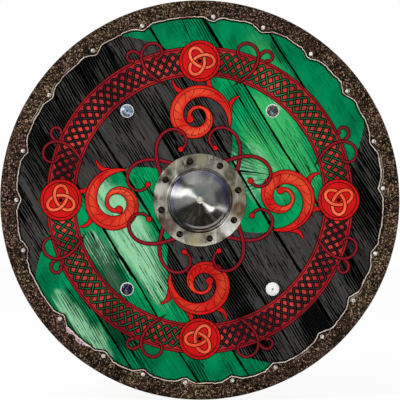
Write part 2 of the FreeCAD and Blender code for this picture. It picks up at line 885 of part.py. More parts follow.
def make_grip_strap():
    """The hand grip's strap: wide at its tabs, with a narrow waist where the sleeve sits."""
    corners = grip_corners()
    radii = [
        strap_foot_round + grip_thickness,
        grip_top_round,
        grip_top_round,
        strap_foot_round + grip_thickness,
    ]
    strap = strap_band(corners, radii, grip_thickness, strap_width)
    for end in (corners[0], corners[-1]):
        middle = end + BACKWARD * (grip_thickness / 2)
        strap = round_strap_end(strap, middle, strap_tab_corner_share)
    step = (strap_width - grip_waist_width) / 2
    bite = step + overrun
    top = strap_seat + grip_rise - overrun
    tools = [bolt_tool(side * strap_bolt_x, strap_seat + grip_thickness) for side in (-1, 1)]
    for side in (-1, 1):
        near = grip_waist_width / 2 if side > 0 else -grip_waist_width / 2 - bite
        notch = Part.makeBox(
            2 * grip_waist_half_length, grip_thickness + 2 * overrun, bite,
            at(-grip_waist_half_length, top, near),
        )
        inner = [
            edge for edge in notch.Edges
            if abs(abs(edge.CenterOfMass.x) - grip_waist_half_length) < overrun / 2
            and abs(abs(edge.CenterOfMass.z) - grip_waist_width / 2) < overrun / 2
        ]
        tools.append(notch.makeFillet(grip_waist_corner_share * step, inner))
    strap = strap.cut(tools)
    strap.translate(UP * upper_strap_height)
    return strap


def make_grip_sleeve():
    """The padded sleeve sewn round the grip's waist."""
    middle = strap_seat + grip_rise + grip_thickness / 2
    outer = Part.makeBox(
        sleeve_length, sleeve_depth, sleeve_width,
        at(-sleeve_length / 2, middle - sleeve_depth / 2, -sleeve_width / 2),
    )
    outer = outer.makeFillet(
        sleeve_corner_round,
        [edge for edge in outer.Edges if abs(edge.Length - sleeve_length) < overrun],
    )
    depth = grip_thickness + 2 * sleeve_gap
    width = grip_waist_width + 2 * sleeve_gap
    inner = Part.makeBox(
        sleeve_length + 2 * overrun, depth, width,
        at(-sleeve_length / 2 - overrun, middle - depth / 2, -width / 2),
    )
    sleeve = outer.cut(inner)
    sleeve.translate(UP * upper_strap_height)
    return sleeve


def make_all():
    """Every node of the shield by name."""
    nodes = {f"plank_{k + 1}": plank for k, plank in enumerate(make_planks())}
    nodes.update(
        batten_upper=make_batten(upper_strap_height),
        batten_lower=make_batten(lower_strap_height),
        batten_screws=make_batten_screws(),
        rim_hide=make_rim_hide(),
        rim_rivets=make_rim_rivets(),
        boss=make_boss(),
        boss_rivets=make_boss_rivets(),
        boss_roves=make_boss_roves(),
        strap_bolts=make_strap_bolts(),
        strap_washers=make_strap_washers(),
        strap_nuts=make_strap_nuts(),
        arm_strap_chape=make_chape(),
        arm_strap_billet=make_billet(),
        strap_keeper=make_keeper(),
        buckle_frame=make_buckle_frame(),
        buckle_roller=make_roller(),
        buckle_tongue=make_tongue(),
        grip_strap=make_grip_strap(),
        grip_sleeve=make_grip_sleeve(),
    )
    return nodes


def write_parts(nodes):
    """Writes one STEP file per node, and prints what each holds."""
    os.makedirs("parts", exist_ok=True)
    for name, shape in nodes.items():
        shape.exportStep(f"parts/{name}.step")
        print(f"{name}: {len(shape.Solids)} solids, {shape.Volume:.0f} mm3, valid {shape.isValid()}")


write_parts(make_all())
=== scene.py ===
"""Looks of a round plank shield: painted boards, a plaited ring, a steel boss, a hide rim and leather straps.

Lengths are in metres, in the shield's own frame: it faces -Y, X runs to the right and Z up.
"""

import logging
import math
from contextlib import contextmanager
from dataclasses import dataclass, field, replace
from enum import Enum
from typing import Callable, Iterable, Iterator, Mapping, Sequence

import bmesh
import bpy
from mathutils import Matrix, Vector, noise


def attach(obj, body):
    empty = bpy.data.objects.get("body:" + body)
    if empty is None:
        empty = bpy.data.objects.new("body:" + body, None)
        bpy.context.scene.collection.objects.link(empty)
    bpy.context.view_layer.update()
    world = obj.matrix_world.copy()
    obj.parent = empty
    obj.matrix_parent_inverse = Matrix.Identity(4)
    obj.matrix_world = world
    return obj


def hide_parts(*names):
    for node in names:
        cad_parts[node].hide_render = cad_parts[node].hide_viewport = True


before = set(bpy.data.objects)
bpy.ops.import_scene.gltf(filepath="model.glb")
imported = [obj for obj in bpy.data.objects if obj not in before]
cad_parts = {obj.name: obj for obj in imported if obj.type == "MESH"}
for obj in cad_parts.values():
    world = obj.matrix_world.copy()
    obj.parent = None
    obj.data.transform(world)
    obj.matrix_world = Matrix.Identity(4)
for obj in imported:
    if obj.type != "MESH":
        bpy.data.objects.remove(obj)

logging.basicConfig(level=logging.INFO, format="%(message)s")
log = logging.getLogger("shield")

Mesh = bpy.types.Mesh
Material = bpy.types.Material
Socket = bpy.types.NodeSocket
Tree = bpy.types.NodeTree
Colour = tuple[float, float, float, float]
Pair = tuple[float, float]

MM = 0.001
SHIELD_BODY = "shield"
BACKWARD = Vector((0, 1, 0))
UP = Vector((0, 0, 1))

# Faces and edges of the board, and the lean of its planks
BOARD_FRONT = -12 * MM
BOARD_BACK = 0.0
SHIELD_RADIUS = 305 * MM
LEAN = math.radians(31.6)
ALONG = Vector((-math.sin(LEAN), 0, math.cos(LEAN)))
ACROSS = Vector((math.cos(LEAN), 0, math.sin(LEAN)))
PLANK_COUNT = 8
SEAM_HALF_WIDTH = 1.3 * MM
SEAM_DEPTH = 1.2 * MM


def linear(red: int, green: int, blue: int) -> Colour:
    """Linear light of a colour whose parts run from 0 to 255."""
    shares = [share / 255 for share in (red, green, blue)]
    return *(share / 12.92 if share <= 0.04045 else ((share + 0.055) / 1.055) ** 2.4 for share in shares), 1.0


class Paint(Enum):
    """The colours of the shield's paints, metals and leathers."""

    DEEP_GREEN = linear(3, 124, 76)
    LEAF_GREEN = linear(4, 150, 90)
    BRIGHT_GREEN = linear(62, 180, 102)
    MINT = linear(144, 206, 160)
    GREEN_GRAIN = linear(2, 36, 22)
    CHARCOAL = linear(66, 65, 64)
    SOOT = linear(2, 2, 2)
    CRIMSON = linear(154, 24, 34)
    RED = linear(206, 20, 20)
    ORANGE = linear(238, 88, 52)
    PALE_ORANGE = linear(246, 134, 92)
    DEEP_RED = linear(140, 24, 34)
    OUTLINE = linear(24, 4, 6)
    PINE = linear(186, 142, 92)
    PINE_GRAIN = linear(118, 78, 42)
    OAK = linear(128, 88, 54)
    OAK_GRAIN = linear(62, 38, 20)
    HIDE = linear(82, 58, 40)
    HIDE_DARK = linear(26, 17, 11)
    HIDE_RIDGE_HIGHLIGHT = linear(208, 178, 138)
    HIDE_RED_RIDGE_HIGHLIGHT = linear(204, 160, 146)
    HIDE_SHADE = linear(5, 3, 2)
    RAW_EDGE = linear(255, 236, 216)
    RAW_SHADE = linear(196, 144, 146)
    LILAC = linear(206, 176, 196)
    BOLT_CENTRE_DARK_REFLECTION = linear(22, 22, 34)
    LOZENGE = linear(222, 72, 58)
    BRIDLE = linear(86, 48, 26)
    BRIDLE_DARK = linear(34, 18, 10)
    SLEEVE = linear(52, 32, 22)
    SLEEVE_DARK = linear(16, 10, 7)
    THREAD = linear(206, 186, 146)
    THREAD_DARK = linear(150, 126, 90)
    WHITE = (1.0, 1.0, 1.0, 1.0)


class Value:
    """A number, vector or colour in a shader tree. Numbers take plain arithmetic."""

    def __init__(self, graph: "Graph", socket: Socket) -> None:
        """Holds one output of the graph."""
        self.graph = graph
        self.socket = socket

    def __add__(self, other: "Fed") -> "Value":
        """The sum."""
        return self.graph.math("ADD", self, other)

    def __mul__(self, other: "Fed") -> "Value":
        """The product."""
        return self.graph.math("MULTIPLY", self, other)

    def __sub__(self, other: "Fed") -> "Value":
        """The difference."""
        return self.graph.math("SUBTRACT", self, other)

    def __rsub__(self, other: "Fed") -> "Value":
        """The difference, taken from a number."""
        return self.graph.math("SUBTRACT", other, self)

    def __truediv__(self, other: "Fed") -> "Value":
        """The quotient."""
        return self.graph.math("DIVIDE", self, other)

    def __abs__(self) -> "Value":
        """The size, without its sign."""
        return self.graph.math("ABSOLUTE", self)


Fed = Value | Paint | float | Sequence[float]
Inputs = Sequence[Fed] | Mapping[str | int, Fed]


class Graph:
    """A shader tree under construction, with short calls for the nodes that the finishes use."""

    def __init__(self, tree: Tree) -> None:
        """Starts on an existing tree."""
        self.tree = tree

    def feed(self, target: Socket, value: Fed) -> None:
        """Links an input to a value of the tree, or sets it.

        Args:
            target: The input.
            value: What it is fed.
        """
        if isinstance(value, Value):
            self.tree.links.new(value.socket, target)
        else:
            target.default_value = value.value if isinstance(value, Paint) else value

    def node(self, kind: str, fed: Inputs = (), **settings: object) -> bpy.types.Node:
        """Adds a node.

        Args:
            kind: The node's type name, without its ShaderNode prefix.
            fed: What its inputs are fed, in order or by name or number.
            settings: Its properties.

        Returns:
            The node.
        """
        made = self.tree.nodes.new("ShaderNode" + kind)
        for name, setting in settings.items():
            setattr(made, name, setting)
        for key, value in fed.items() if isinstance(fed, Mapping) else enumerate(fed):
            self.feed(made.inputs[key], value)
        return made

    def outputs(self, node: bpy.types.Node) -> list[Value]:
        """All outputs of a node."""
        return [Value(self, output) for output in node.outputs]

    def math(self, operation: str, *fed: Fed, clamp: bool = False) -> Value:
        """A Math node's result."""
        return self.outputs(self.node("Math", fed, operation=operation, use_clamp=clamp))[0]

    def least(self, first: Fed, second: Fed) -> Value:
        """The lesser of two numbers."""
        return self.math("MINIMUM", first, second)

    def most(self, first: Fed, second: Fed) -> Value:
        """The greater of two numbers."""
        return self.math("MAXIMUM", first, second)

    def vector(self, operation: str, *fed: Fed) -> Value:
        """A Vector Math node's result, which is a number for a length, distance or dot product."""
        made = self.node("VectorMath", fed, operation=operation)
        return self.outputs(made)[operation in ("DOT_PRODUCT", "DISTANCE", "LENGTH")]

    def scaled(self, vector: Fed, share: Fed) -> Value:
        """A vector or colour times a number."""
        return self.outputs(self.node("VectorMath", {0: vector, "Scale": share}, operation="SCALE"))[0]

    def combine(self, x: Fed, y: Fed, z: Fed) -> Value:
        """A vector of three numbers."""
        return self.outputs(self.node("CombineXYZ", (x, y, z)))[0]

    def parts(self, vector: Fed) -> list[Value]:
        """The three numbers of a vector or colour."""
        return self.outputs(self.node("SeparateXYZ", (vector,)))

    def steps(self, value: Fed, low: Fed, high: Fed, start: Fed = 0.0, stop: Fed = 1.0) -> Value:
        """A smooth step from start to stop, while a value goes from low to high."""
        fed = (value, low, high, start, stop)
        return self.outputs(self.node("MapRange", fed, interpolation_type="SMOOTHSTEP"))[0]

    def noise(self, place: Fed, scale: Fed = 1.0, detail: float = 2.0, roughness: float = 0.5) -> Value:
        """Cloudy noise, about 0 to 1, with finer layers by detail and their strength by roughness."""
        fed = {"Vector": place, "Scale": scale, "Detail": detail, "Roughness": roughness}
        return self.outputs(self.node("TexNoise", fed))[0]

    def cells(self, place: Fed, scale: Fed, feature: str = "F1") -> list[Value]:
        """The distance and colour of the pebble-like cell at a place."""
        return self.outputs(self.node("TexVoronoi", {"Vector": place, "Scale": scale}, feature=feature))

    def mix(self, share: Fed, first: Fed, second: Fed) -> Value:
        """A mix of two colours, by the second one's share."""
        return self.outputs(self.node("Mix", {0: share, 6: first, 7: second}, data_type="RGBA"))[2]

    def blend(self, share: Fed, first: Fed, second: Fed) -> Value:
        """A mix of two numbers, by the second one's share."""
        return self.outputs(self.node("Mix", {0: share, 2: first, 3: second}, data_type="FLOAT"))[0]

    def place(self) -> Value:
        """The point in the shield's frame."""
        return Value(self, self.node("TexCoord").outputs["Object"])

    def attribute(self, name: str) -> Value:
        """A number that the mesh carries."""
        return Value(self, self.node("Attribute", attribute_name=name).outputs["Fac"])

    def ray(self, kind: str) -> Value:
        """1 for rays of the kind that an output of Light Path names, and 0 for others."""
        return Value(self, self.node("LightPath").outputs[kind])

    def use(self, group: Tree, **fed: Fed) -> list[Value]:
        """Places a node group.

        Args:
            group: The group.
            fed: What its inputs are fed, by name.

        Returns:
            Its outputs, in order.
        """
        made = self.tree.nodes.new("ShaderNodeGroup")
        made.node_tree = group
        for name, value in fed.items():
            self.feed(made.inputs[name], value)
        return self.outputs(made)

    def bump(self, height: Fed, strength: float, distance: float) -> Value:
        """A normal roughened by a height of about 0 to 1, where 1 stands for a distance in metres."""
        fed = {"Height": height, "Strength": strength, "Distance": distance}
        return self.outputs(self.node("Bump", fed))[0]


class GroupDraft(Graph):
    """A node group under construction, with named inputs and outputs."""

    VECTORS = ("Place", "Centre")

    def __init__(self, name: str, inputs: Sequence[str], outputs: Sequence[str]) -> None:
        """Makes the group's sockets.

        Args:
            name: The group's name.
            inputs: The inputs' names. A place or a centre is a vector, and the others are numbers.
            outputs: The outputs' names, all numbers.
        """
        super().__init__(bpy.data.node_groups.new(name, "ShaderNodeTree"))
        for way, names in (("INPUT", inputs), ("OUTPUT", outputs)):
            for socket in names:
                kind = "NodeSocketVector" if socket in self.VECTORS else "NodeSocketFloat"
                self.tree.interface.new_socket(name=socket, in_out=way, socket_type=kind)
        self.given = self.outputs(self.tree.nodes.new("NodeGroupInput"))[:len(inputs)]
        self.result = self.tree.nodes.new("NodeGroupOutput").inputs

    def close(self, *values: Fed) -> Tree:
        """Ends the draft.

        Args:
            values: What the group's outputs are fed, in order.

        Returns:
            The group.
        """
        for target, value in zip(self.result, values):
            self.feed(target, value)
        return self.tree


def grain_group() -> Tree:
    """Dark strokes of the grain, which run along a plank.

    Returns:
        The group: Strokes are short dark lines, Cracks long heavy ones, Height the relief of both.
    """
    lines_per_metre = 265.0
    dashes_per_metre = 26.0
    inputs = ("Across", "Along", "Seed", "Density", "Widest")
    g = GroupDraft("grain_strokes", inputs, ("Strokes", "Cracks", "Height"))
    across, along, seed, density, widest = g.given
    bent = g.noise(g.combine(across * 20.0, along * 7.0, seed)) * (12 * MM) + across
    clump = g.noise(g.combine(across * 15.0, along * 5.0, seed))
    crowd = g.steps(clump + density, 0.53, 0.72)
    lines = bent * lines_per_metre
    dash_place = g.combine(g.math("FLOOR", lines) * 7.31, along * dashes_per_metre, seed)
    swell = (clump - 0.5) + g.noise(dash_place, 1.0, 3.0, 0.65) + density
    width = g.least((swell - 0.50) * 2.4, crowd * 0.17 + widest)
    strokes = g.steps(abs(g.math("FRACT", lines) - 0.5) - width, 0.04, -0.04)
    fine_lines = bent * (2 * lines_per_metre)
    fine_place = g.combine(g.math("FLOOR", fine_lines) * 3.17, along * dashes_per_metre, seed)
    fine_width = g.least((g.noise(fine_place) + density - 0.53) * 2.2, 0.26)
    fine = g.steps(abs(g.math("FRACT", fine_lines) - 0.5) - fine_width, 0.06, -0.06)
    strokes = g.most(strokes, fine * 0.55)
    ridge = abs(g.noise(g.combine(bent * 88.0, along * 3.5, seed), 1.0, 1.0) - 0.5)
    cracks = g.steps(ridge, 0.014, 0.005) * g.steps(clump + density, 0.44, 0.56)
    return g.close(strokes, cracks, 1.0 - g.most(strokes * 0.6, cracks))


def swirl_group() -> Tree:
    """The four painted fields, parted by spirals that run out from the boss.

    Returns:
        The group: Green is 1 on the two green fields and 0 on the two dark ones.
    """
    turn_at_centre = 0.504
    turn_per_metre = 5.43
    g = GroupDraft("swirl_fields", ("Place",), ("Green",))
    place = g.given[0]
    x, _, z = g.parts(place)
    edge = g.math("SQRT", x * x + z * z) * turn_per_metre + turn_at_centre
    wobble = (g.noise(place, 60.0) - 0.5) * 0.012
    share = g.math("FRACT", (g.math("ARCTAN2", z, x) - edge + wobble) / math.pi)
    return g.close(g.math("GREATER_THAN", share, 0.5))


def spot_group() -> Tree:
    """A soft round spot.

    Returns:
        The group: Mask is 1 in the middle and falls to 0 at the radius.
    """
    g = GroupDraft("soft_spot", ("Place", "Centre", "Radius"), ("Mask",))
    place, centre, radius = g.given
    return g.close(g.steps(g.vector("DISTANCE", place, centre) / radius, 1.0, 0.4))


def crackle_group() -> Tree:
    """The cracked, pebbled surface of hide and leather.

    Returns:
        The group: Crease marks cracks, Fleck worn high spots, Tone differs by pebble, Height is the relief.
    """
    g = GroupDraft("hide_crackle", ("Place", "Scale"), ("Crease", "Fleck", "Tone", "Height"))
    place, scale = g.given
    drift = g.outputs(g.node("TexNoise", {"Vector": place, "Scale": scale * 0.6}))[1]
    bent = g.vector("ADD", place, g.scaled(drift, 6 * MM))
    gap = g.cells(bent, scale, "DISTANCE_TO_EDGE")[0]
    crease = g.steps(gap, 0.16, 0.03)
    speck = g.noise(bent, scale * 1.5, 3.0, 0.7)
    worn = g.steps(g.noise(place, scale * 0.16) * 0.45 + speck, 0.72, 0.84)
    tone = g.parts(g.cells(bent, scale)[1])[0]
    return g.close(crease, worn * (1.0 - crease), tone, speck * 0.5 + g.steps(gap, 0.0, 0.4))


def smudge_group() -> Tree:
    """Handled metal: cloudy tarnish, fine scratches and pits.

    Returns:
        The group: Tarnish is cloudy, Scratch marks fine lines, Height is the relief of both.
    """
    g = GroupDraft("metal_smudge", ("Place", "Scale"), ("Tarnish", "Scratch", "Height"))
    place, scale = g.given
    cloud = g.noise(place, scale, 4.0, 0.6)
    drawn_out = g.vector("MULTIPLY", place, (1.0, 1.0, 14.0))
    scratch = g.steps(g.noise(drawn_out, scale * 14.0, 2.0, 0.7), 0.62, 0.72)
    pits = g.noise(place, scale * 30.0)
    return g.close(g.steps(cloud, 0.36, 0.66), scratch, pits * 0.5 + cloud + scratch * -0.4)


GRAIN = grain_group()
SWIRL = swirl_group()
SPOT = spot_group()
CRACKLE = crackle_group()
SMUDGE = smudge_group()


def new_material(name: str) -> tuple[Material, Graph]:
    """Makes a material.

    Args:
        name: Its name.

    Returns:
        The material, and its tree to draw in.
    """
    made = bpy.data.materials.new(name)
    made.use_nodes = True
    return made, Graph(made.node_tree)


class Finish:
    """A material of the shield. Its own class says how it looks."""

    name: str

    def material(self) -> Material:
        """Makes the material.

        Returns:
            The material, with its Principled shader fed by this finish.
        """
        made, g = new_material(self.name)
        shader = made.node_tree.nodes["Principled BSDF"]
        for socket, value in self.looks(g).items():
            g.feed(shader.inputs[socket], value)
        return made

    def looks(self, g: Graph) -> dict[str, Fed]:
        """What the shader's sockets are fed.

        Args:
            g: The material's tree.

        Returns:
            The values, by socket name.
        """
        raise NotImplementedError


# Soft spots are longer along the grain by this factor
SPOT_STRETCH = 2.5
Spots = Sequence[tuple[float, float, float, float]]

# Where the paint is lighter, gloomier or crowded with grain: place to the right, height and radius in
# millimetres, and strength
BRIGHT_SPOTS: Spots = (
    (122, 112, 34, 1.0),
    (104, 62, 34, 1.0),
    (150, 60, 26, 0.8),
    (100, 214, 26, 0.45),
)
PALE_SPOTS: Spots = (
    (76, 34, 26, 0.50),
    (98, 52, 22, 0.45),
    (112, 165, 16, 0.40),
    (-140, -10, 30, 0.85),
    (-152, -80, 20, 0.85),
    (-136, -118, 14, 0.75),
    (-116, -38, 42, 0.95),
    (-97, -78, 40, 0.95),
    (-78, -118, 28, 0.75),
    (-207, -158, 14, 0.60),
    (-186, -182, 16, 0.80),
    (-155, -215, 17, 0.80),
)
DENSE_SPOTS: Spots = (
    (-143, -98, 32, 1.0),
    (-128, -196, 18, 1.0),
    (-178, -188, 30, 0.32),
    (120, 225, 12, 0.60),
    (0, -262, 16, 0.60),
    (92, -208, 32, 0.60),
    (178, -190, 32, 0.50),
    (40, -125, 24, 0.40),
    (-60, 120, 20, 0.30),
)
GLOOMY_SPOTS: Spots = (
    (-150, 192, 46, 0.9),
    (-232, 46, 44, 1.0),
    (-212, 128, 44, 0.8),
    (238, 0, 40, 1.0),
    (236, -92, 36, 0.9),
)
FAN_APEX = (140 * MM, 0.0, 34 * MM)


def across_and_along(g: Graph, place: Value) -> tuple[Value, Value]:
    """How far a point lies across and along the planks."""
    return g.vector("DOT_PRODUCT", place, ACROSS), g.vector("DOT_PRODUCT", place, ALONG)


def soft_patch(g: Graph, place: Value, spots: Spots) -> Value:
    """The mask of several soft spots together.

    Args:
        g: The tree to add to.
        place: The point across and along the grain.
        spots: The spots.

    Returns:
        The greatest of their masks.
    """
    mask: Fed = 0.0
    for x, z, radius, strength in spots:
        spot = Vector((x, 0, z)) * MM
        centre = (spot.dot(ACROSS), 0.0, spot.dot(ALONG) / SPOT_STRETCH)
        mask = g.most(mask, g.use(SPOT, Place=place, Centre=centre, Radius=radius * MM)[0] * strength)
    return mask


def board_strokes(g: Graph, place: Value, seed: float, extra: Fed, widest: Fed) -> list[Value]:
    """The grain on the board's front, with the fan of a knot to the right of the boss.

    Args:
        g: The tree to add to.
        place: The point in the shield's frame.
        seed: Makes each plank's grain its own.
        extra: More strokes where it is above 0.
        widest: Half the width of a full stroke, as a share of the lines' spacing.

    Returns:
        Strokes, cracks and height.
    """
    across, along = across_and_along(g, place)
    grainwise = g.combine(across, 0.0, along / SPOT_STRETCH)
    dense = soft_patch(g, grainwise, DENSE_SPOTS)
    gloomy = soft_patch(g, grainwise, GLOOMY_SPOTS)
    crowded = dense * 0.36 + extra + gloomy * 0.06
    wider = (gloomy * 0.35 + dense) * 0.20 + widest
    straight = g.use(GRAIN, Across=across, Along=along, Seed=seed, Density=crowded, Widest=wider)
    x, _, z = g.parts(g.vector("SUBTRACT", FAN_APEX, place))
    angle = g.math("ARCTAN2", z, x)
    reach = g.vector("LENGTH", g.combine(x, 0.0, z))
    fan = g.use(GRAIN, Across=angle * 0.056, Along=reach, Seed=4.0, Density=0.05, Widest=0.11)
    within = g.steps(reach, 112 * MM, 95 * MM) * g.steps(reach, 18 * MM, 34 * MM)
    near = g.steps(abs(angle + 0.22), 0.66, 0.52) * within
    return [g.blend(near, plain, fanned) for plain, fanned in zip(straight, fan)]


def field_paint(g: Graph, place: Value) -> tuple[Value, Value]:
    """The ground colours of the painted fields, without their grain.

    Args:
        g: The tree to add to.
        place: The point in the shield's frame.

    Returns:
        The ground colour, and the mask of the green fields.
    """
    green_mask = g.use(SWIRL, Place=place)[0]
    patchy = (g.noise(place, 16.0) - 0.5) * (120 * MM)
    inward = g.steps(g.vector("LENGTH", place) + patchy, 270 * MM, 185 * MM)
    green = g.mix(inward, Paint.DEEP_GREEN, Paint.LEAF_GREEN)
    cloudy = g.noise(g.vector("MULTIPLY", place, (34.0, 1.0, 20.0)), 1.0, 3.0)
    green = g.scaled(green, g.steps(cloudy, 0.32, 0.62, 0.66, 1.06))
    across, along = across_and_along(g, place)
    streaky = g.noise(g.combine(across * 150.0, along * 9.0, 0.0), 1.0, 3.0)
    frayed = (streaky - 0.5) * (30 * MM) + across
    frayed_ends = (g.noise(place, 55.0, 3.0) - 0.5) * (40 * MM) + along
    grainwise = g.combine(frayed, 0.0, frayed_ends / SPOT_STRETCH)
    uneven = g.steps(streaky, 0.3, 0.7, 0.45, 1.30)
    bright = g.math("MULTIPLY", soft_patch(g, grainwise, BRIGHT_SPOTS), uneven, clamp=True)
    pale = g.math("MULTIPLY", soft_patch(g, grainwise, PALE_SPOTS), uneven, clamp=True)
    green = g.mix(bright, green, Paint.BRIGHT_GREEN)
    green = g.mix(g.steps(pale, 0.04, 0.88), green, Paint.MINT)
    gloomy = soft_patch(g, grainwise, GLOOMY_SPOTS)
    cloud = g.steps(streaky, 0.3, 0.7, 0.78, 1.14) * (gloomy * -0.42 + 1.0)
    return g.mix(green_mask, g.scaled(Paint.CHARCOAL.value[:3], cloud), green), green_mask


@dataclass(frozen=True)
class PlankFinish(Finish):
    """One plank: painted in front with its grain showing, and bare pine behind and at its edges."""

    name: str
    low_edge: float
    high_edge: float
    seed: float

    def looks(self, g: Graph) -> dict[str, Fed]:
        """What the shader's sockets are fed.

        Args:
            g: The material's tree.

        Returns:
            The values, by socket name.
        """
        place = g.place()
        across, along = across_and_along(g, place)
        ground, green = field_paint(g, place)
        extra, widest = green * -0.105 + 0.062, green * -0.11 + 0.22
        strokes, cracks, height = board_strokes(g, place, self.seed, extra, widest)
        grain = g.mix(green, Paint.SOOT, Paint.GREEN_GRAIN)
        painted = g.mix(strokes * (green * -0.12 + 0.97), ground, grain)
        painted = g.mix(cracks, painted, Paint.SOOT)
        gape = g.steps(g.noise(g.combine(self.seed, along * 8.0, 0.0), 1.0, 1.0), 0.42, 0.66, 0.5, 2.3)
        jagged = g.noise(g.combine(across * 500.0, along * 90.0, 0.0))
        ragged = (gape + (jagged * 1.8 - 0.7)) * MM
        to_seam = g.least(across - self.low_edge, self.high_edge - across)
        painted = g.mix(g.steps(to_seam - ragged, 0.5 * MM, -0.4 * MM), painted, Paint.SOOT)
        rough_pine = g.noise(g.combine(across * 160.0, along * 5.0, self.seed), 1.0, 4.0)
        pine = g.mix(g.steps(rough_pine, 0.35, 0.7, 0.0, 0.8), Paint.PINE, Paint.PINE_GRAIN)
        pine = g.mix(strokes * 0.3, pine, Paint.PINE_GRAIN)
        pine = g.scaled(pine, 0.80 + 0.30 * math.fmod(self.seed * 0.61, 1.0))
        pine = g.mix(g.steps(to_seam, 1.6 * MM, 0.6 * MM), pine, Paint.BRIDLE_DARK)
        front = g.math("LESS_THAN", g.parts(place)[1], BOARD_FRONT + SEAM_DEPTH + 0.1 * MM)
        return {
            "Base Color": g.mix(front, pine, painted),
            "Roughness": g.steps(height, 0.0, 1.0, 0.9, 0.62),
            "Specular IOR Level": 0.0,
            "Normal": g.bump(height, 0.7, 0.5 * MM),
        }


@dataclass(frozen=True)
class OrnamentFinish(Finish):
    """Flat paint of the ornament, brighter where its strokes swell, with the wood's grain just showing."""

    name: str
    edge: Paint
    middle: Paint
    grain_share: float = 0.3
    ground_share: float = 0.0

    def looks(self, g: Graph) -> dict[str, Fed]:
        """What the shader's sockets are fed.

        Args:
            g: The material's tree.

        Returns:
            The values, by socket name.
        """
        place = g.place()
        strokes, cracks, height = board_strokes(g, place, 2.0, 0.0, 0.16)
        patchy = g.steps(g.noise(place, 22.0), 0.35, 0.65)
        colour = g.mix(g.attribute("glow") * patchy, self.edge, self.middle)
        if self.ground_share:
            colour = g.mix(self.ground_share, colour, field_paint(g, place)[0])
        return {
            "Base Color": g.mix(g.most(strokes, cracks) * self.grain_share, colour, Paint.OUTLINE),
            "Roughness": 0.6,
            "Specular IOR Level": 0.05,
            "Normal": g.bump(height, 0.35, 0.4 * MM),
        }


@dataclass(frozen=True)
class HideFinish(Finish):
    """The rim's dark hide, with its torn, pale raw edge; painted shade in its creases, along its raw edge and
    round its rivets, a painted shadow on the board, and painted highlights on its ridges.
    """

    name: str

    def looks(self, g: Graph) -> dict[str, Fed]:
        """What the shader's sockets are fed.

        Args:
            g: The material's tree.

        Returns:
            The values, by socket name.
        """
        place = g.place()
        crease, _, tone, height = g.use(CRACKLE, Place=place, Scale=220.0)
        fine_crease, fine_fleck, fine_tone, fine_height = g.use(CRACKLE, Place=place, Scale=520.0)
        slow = g.steps(g.noise(place, 30.0, 3.0), 0.3, 0.7, -0.09, 0.09)
        mottled = g.steps(fine_tone * 0.35 + tone * 0.75 + slow, 0.20, 0.80)
        colour = g.mix(mottled, Paint.HIDE_DARK, Paint.HIDE)
        # Painted shade in the creases of the grain.
        colour = g.mix(g.most(fine_crease * 0.40, crease) * 0.9, colour, Paint.HIDE_SHADE)
        # Painted highlights: pale tan streaks, some redder, on the ridges of the grain.
        ridge = abs(g.noise(place, 310.0, 1.0) - 0.5)
        gate = g.steps(g.noise(place, 270.0) + slow * 0.4, 0.50, 0.57)
        fleck = g.mix(g.steps(g.noise(place, 9.0), 0.46, 0.58), Paint.HIDE_RIDGE_HIGHLIGHT, Paint.HIDE_RED_RIDGE_HIGHLIGHT)
        colour = g.mix(g.steps(ridge, 0.056, 0.012) * gate * 0.82, colour, fleck)
        # A little darker over the rounded outer edge.
        colour = g.mix(g.attribute("outer") * 0.15, colour, Paint.HIDE_SHADE)
        inset = g.attribute("inset")
        torn = g.attribute("torn")
        depth = inset + (g.noise(place, 240.0) - 0.5) * (0.9 * MM)
        # Painted shade: a dark band on the hide along its raw edge.
        colour = g.mix(g.steps(depth, 4.0 * MM, 2.2 * MM) * 0.9, colour, Paint.HIDE_SHADE)
        # Painted shade: a dark ring round each rivet head, where the hide is dimpled.
        colour = g.mix(g.attribute("seat") * 0.8, colour, Paint.HIDE_SHADE)
        line = g.steps(depth, -0.7 * MM, -0.1 * MM) * g.steps(depth - torn, 1.3 * MM, 0.8 * MM)
        second = g.steps(depth, 3.0 * MM, 3.4 * MM) * g.steps(depth, 4.5 * MM, 4.1 * MM)
        second = second * g.steps(g.noise(place, 30.0, 1.0), 0.62, 0.66)
        raw = g.mix(g.steps(g.noise(place, 70.0), 0.48, 0.70), Paint.RAW_EDGE, Paint.RAW_SHADE)
        lilac = g.mix(g.steps(g.noise(place, 420.0), 0.52, 0.62), Paint.LILAC, Paint.HIDE)
        raw = g.mix(g.steps(torn, 1.6 * MM, 3.0 * MM) * g.steps(depth, 1.2 * MM, 2.0 * MM), raw, lilac)
        colour = g.mix(g.most(line, second * 0.35), colour, raw)
        return {
            # Painted shadow: the flap that lies on the board past the inner edge is near black.
            "Base Color": g.mix(g.steps(inset, 0.1 * MM, -0.3 * MM), colour, Paint.HIDE_SHADE),
            "Roughness": g.steps(fine_fleck, 0.0, 1.0, 0.62, 0.45),
            "Specular IOR Level": 0.12,
            "Normal": g.bump(height * 1.2 + fine_height, 0.8, 0.7 * MM),
        }


@dataclass(frozen=True)
class MetalFinish(Finish):
    """Steel or iron with tarnish and scratches, or a plain worn coat if it isn't metallic."""

    name: str
    bright: Fed
    dull: Fed
    polish: float
    dull_roughness: float
    cloud_scale: float
    metallic: float = 1.0

    def looks(self, g: Graph) -> dict[str, Fed]:
        """What the shader's sockets are fed.

        Args:
            g: The material's tree.

        Returns:
            The values, by socket name.
        """
        tarnish, scratch, height = g.use(SMUDGE, Place=g.place(), Scale=self.cloud_scale)
        colour = g.mix(tarnish, self.bright, self.dull)
        return {
            "Base Color": g.mix(scratch * 0.35, colour, linear(200, 198, 194)),
            "Metallic": self.metallic,
            "Roughness": g.steps(tarnish, 0.0, 1.0, self.polish, self.dull_roughness),
            "Normal": g.bump(height, 0.5, 0.08 * MM),
        }


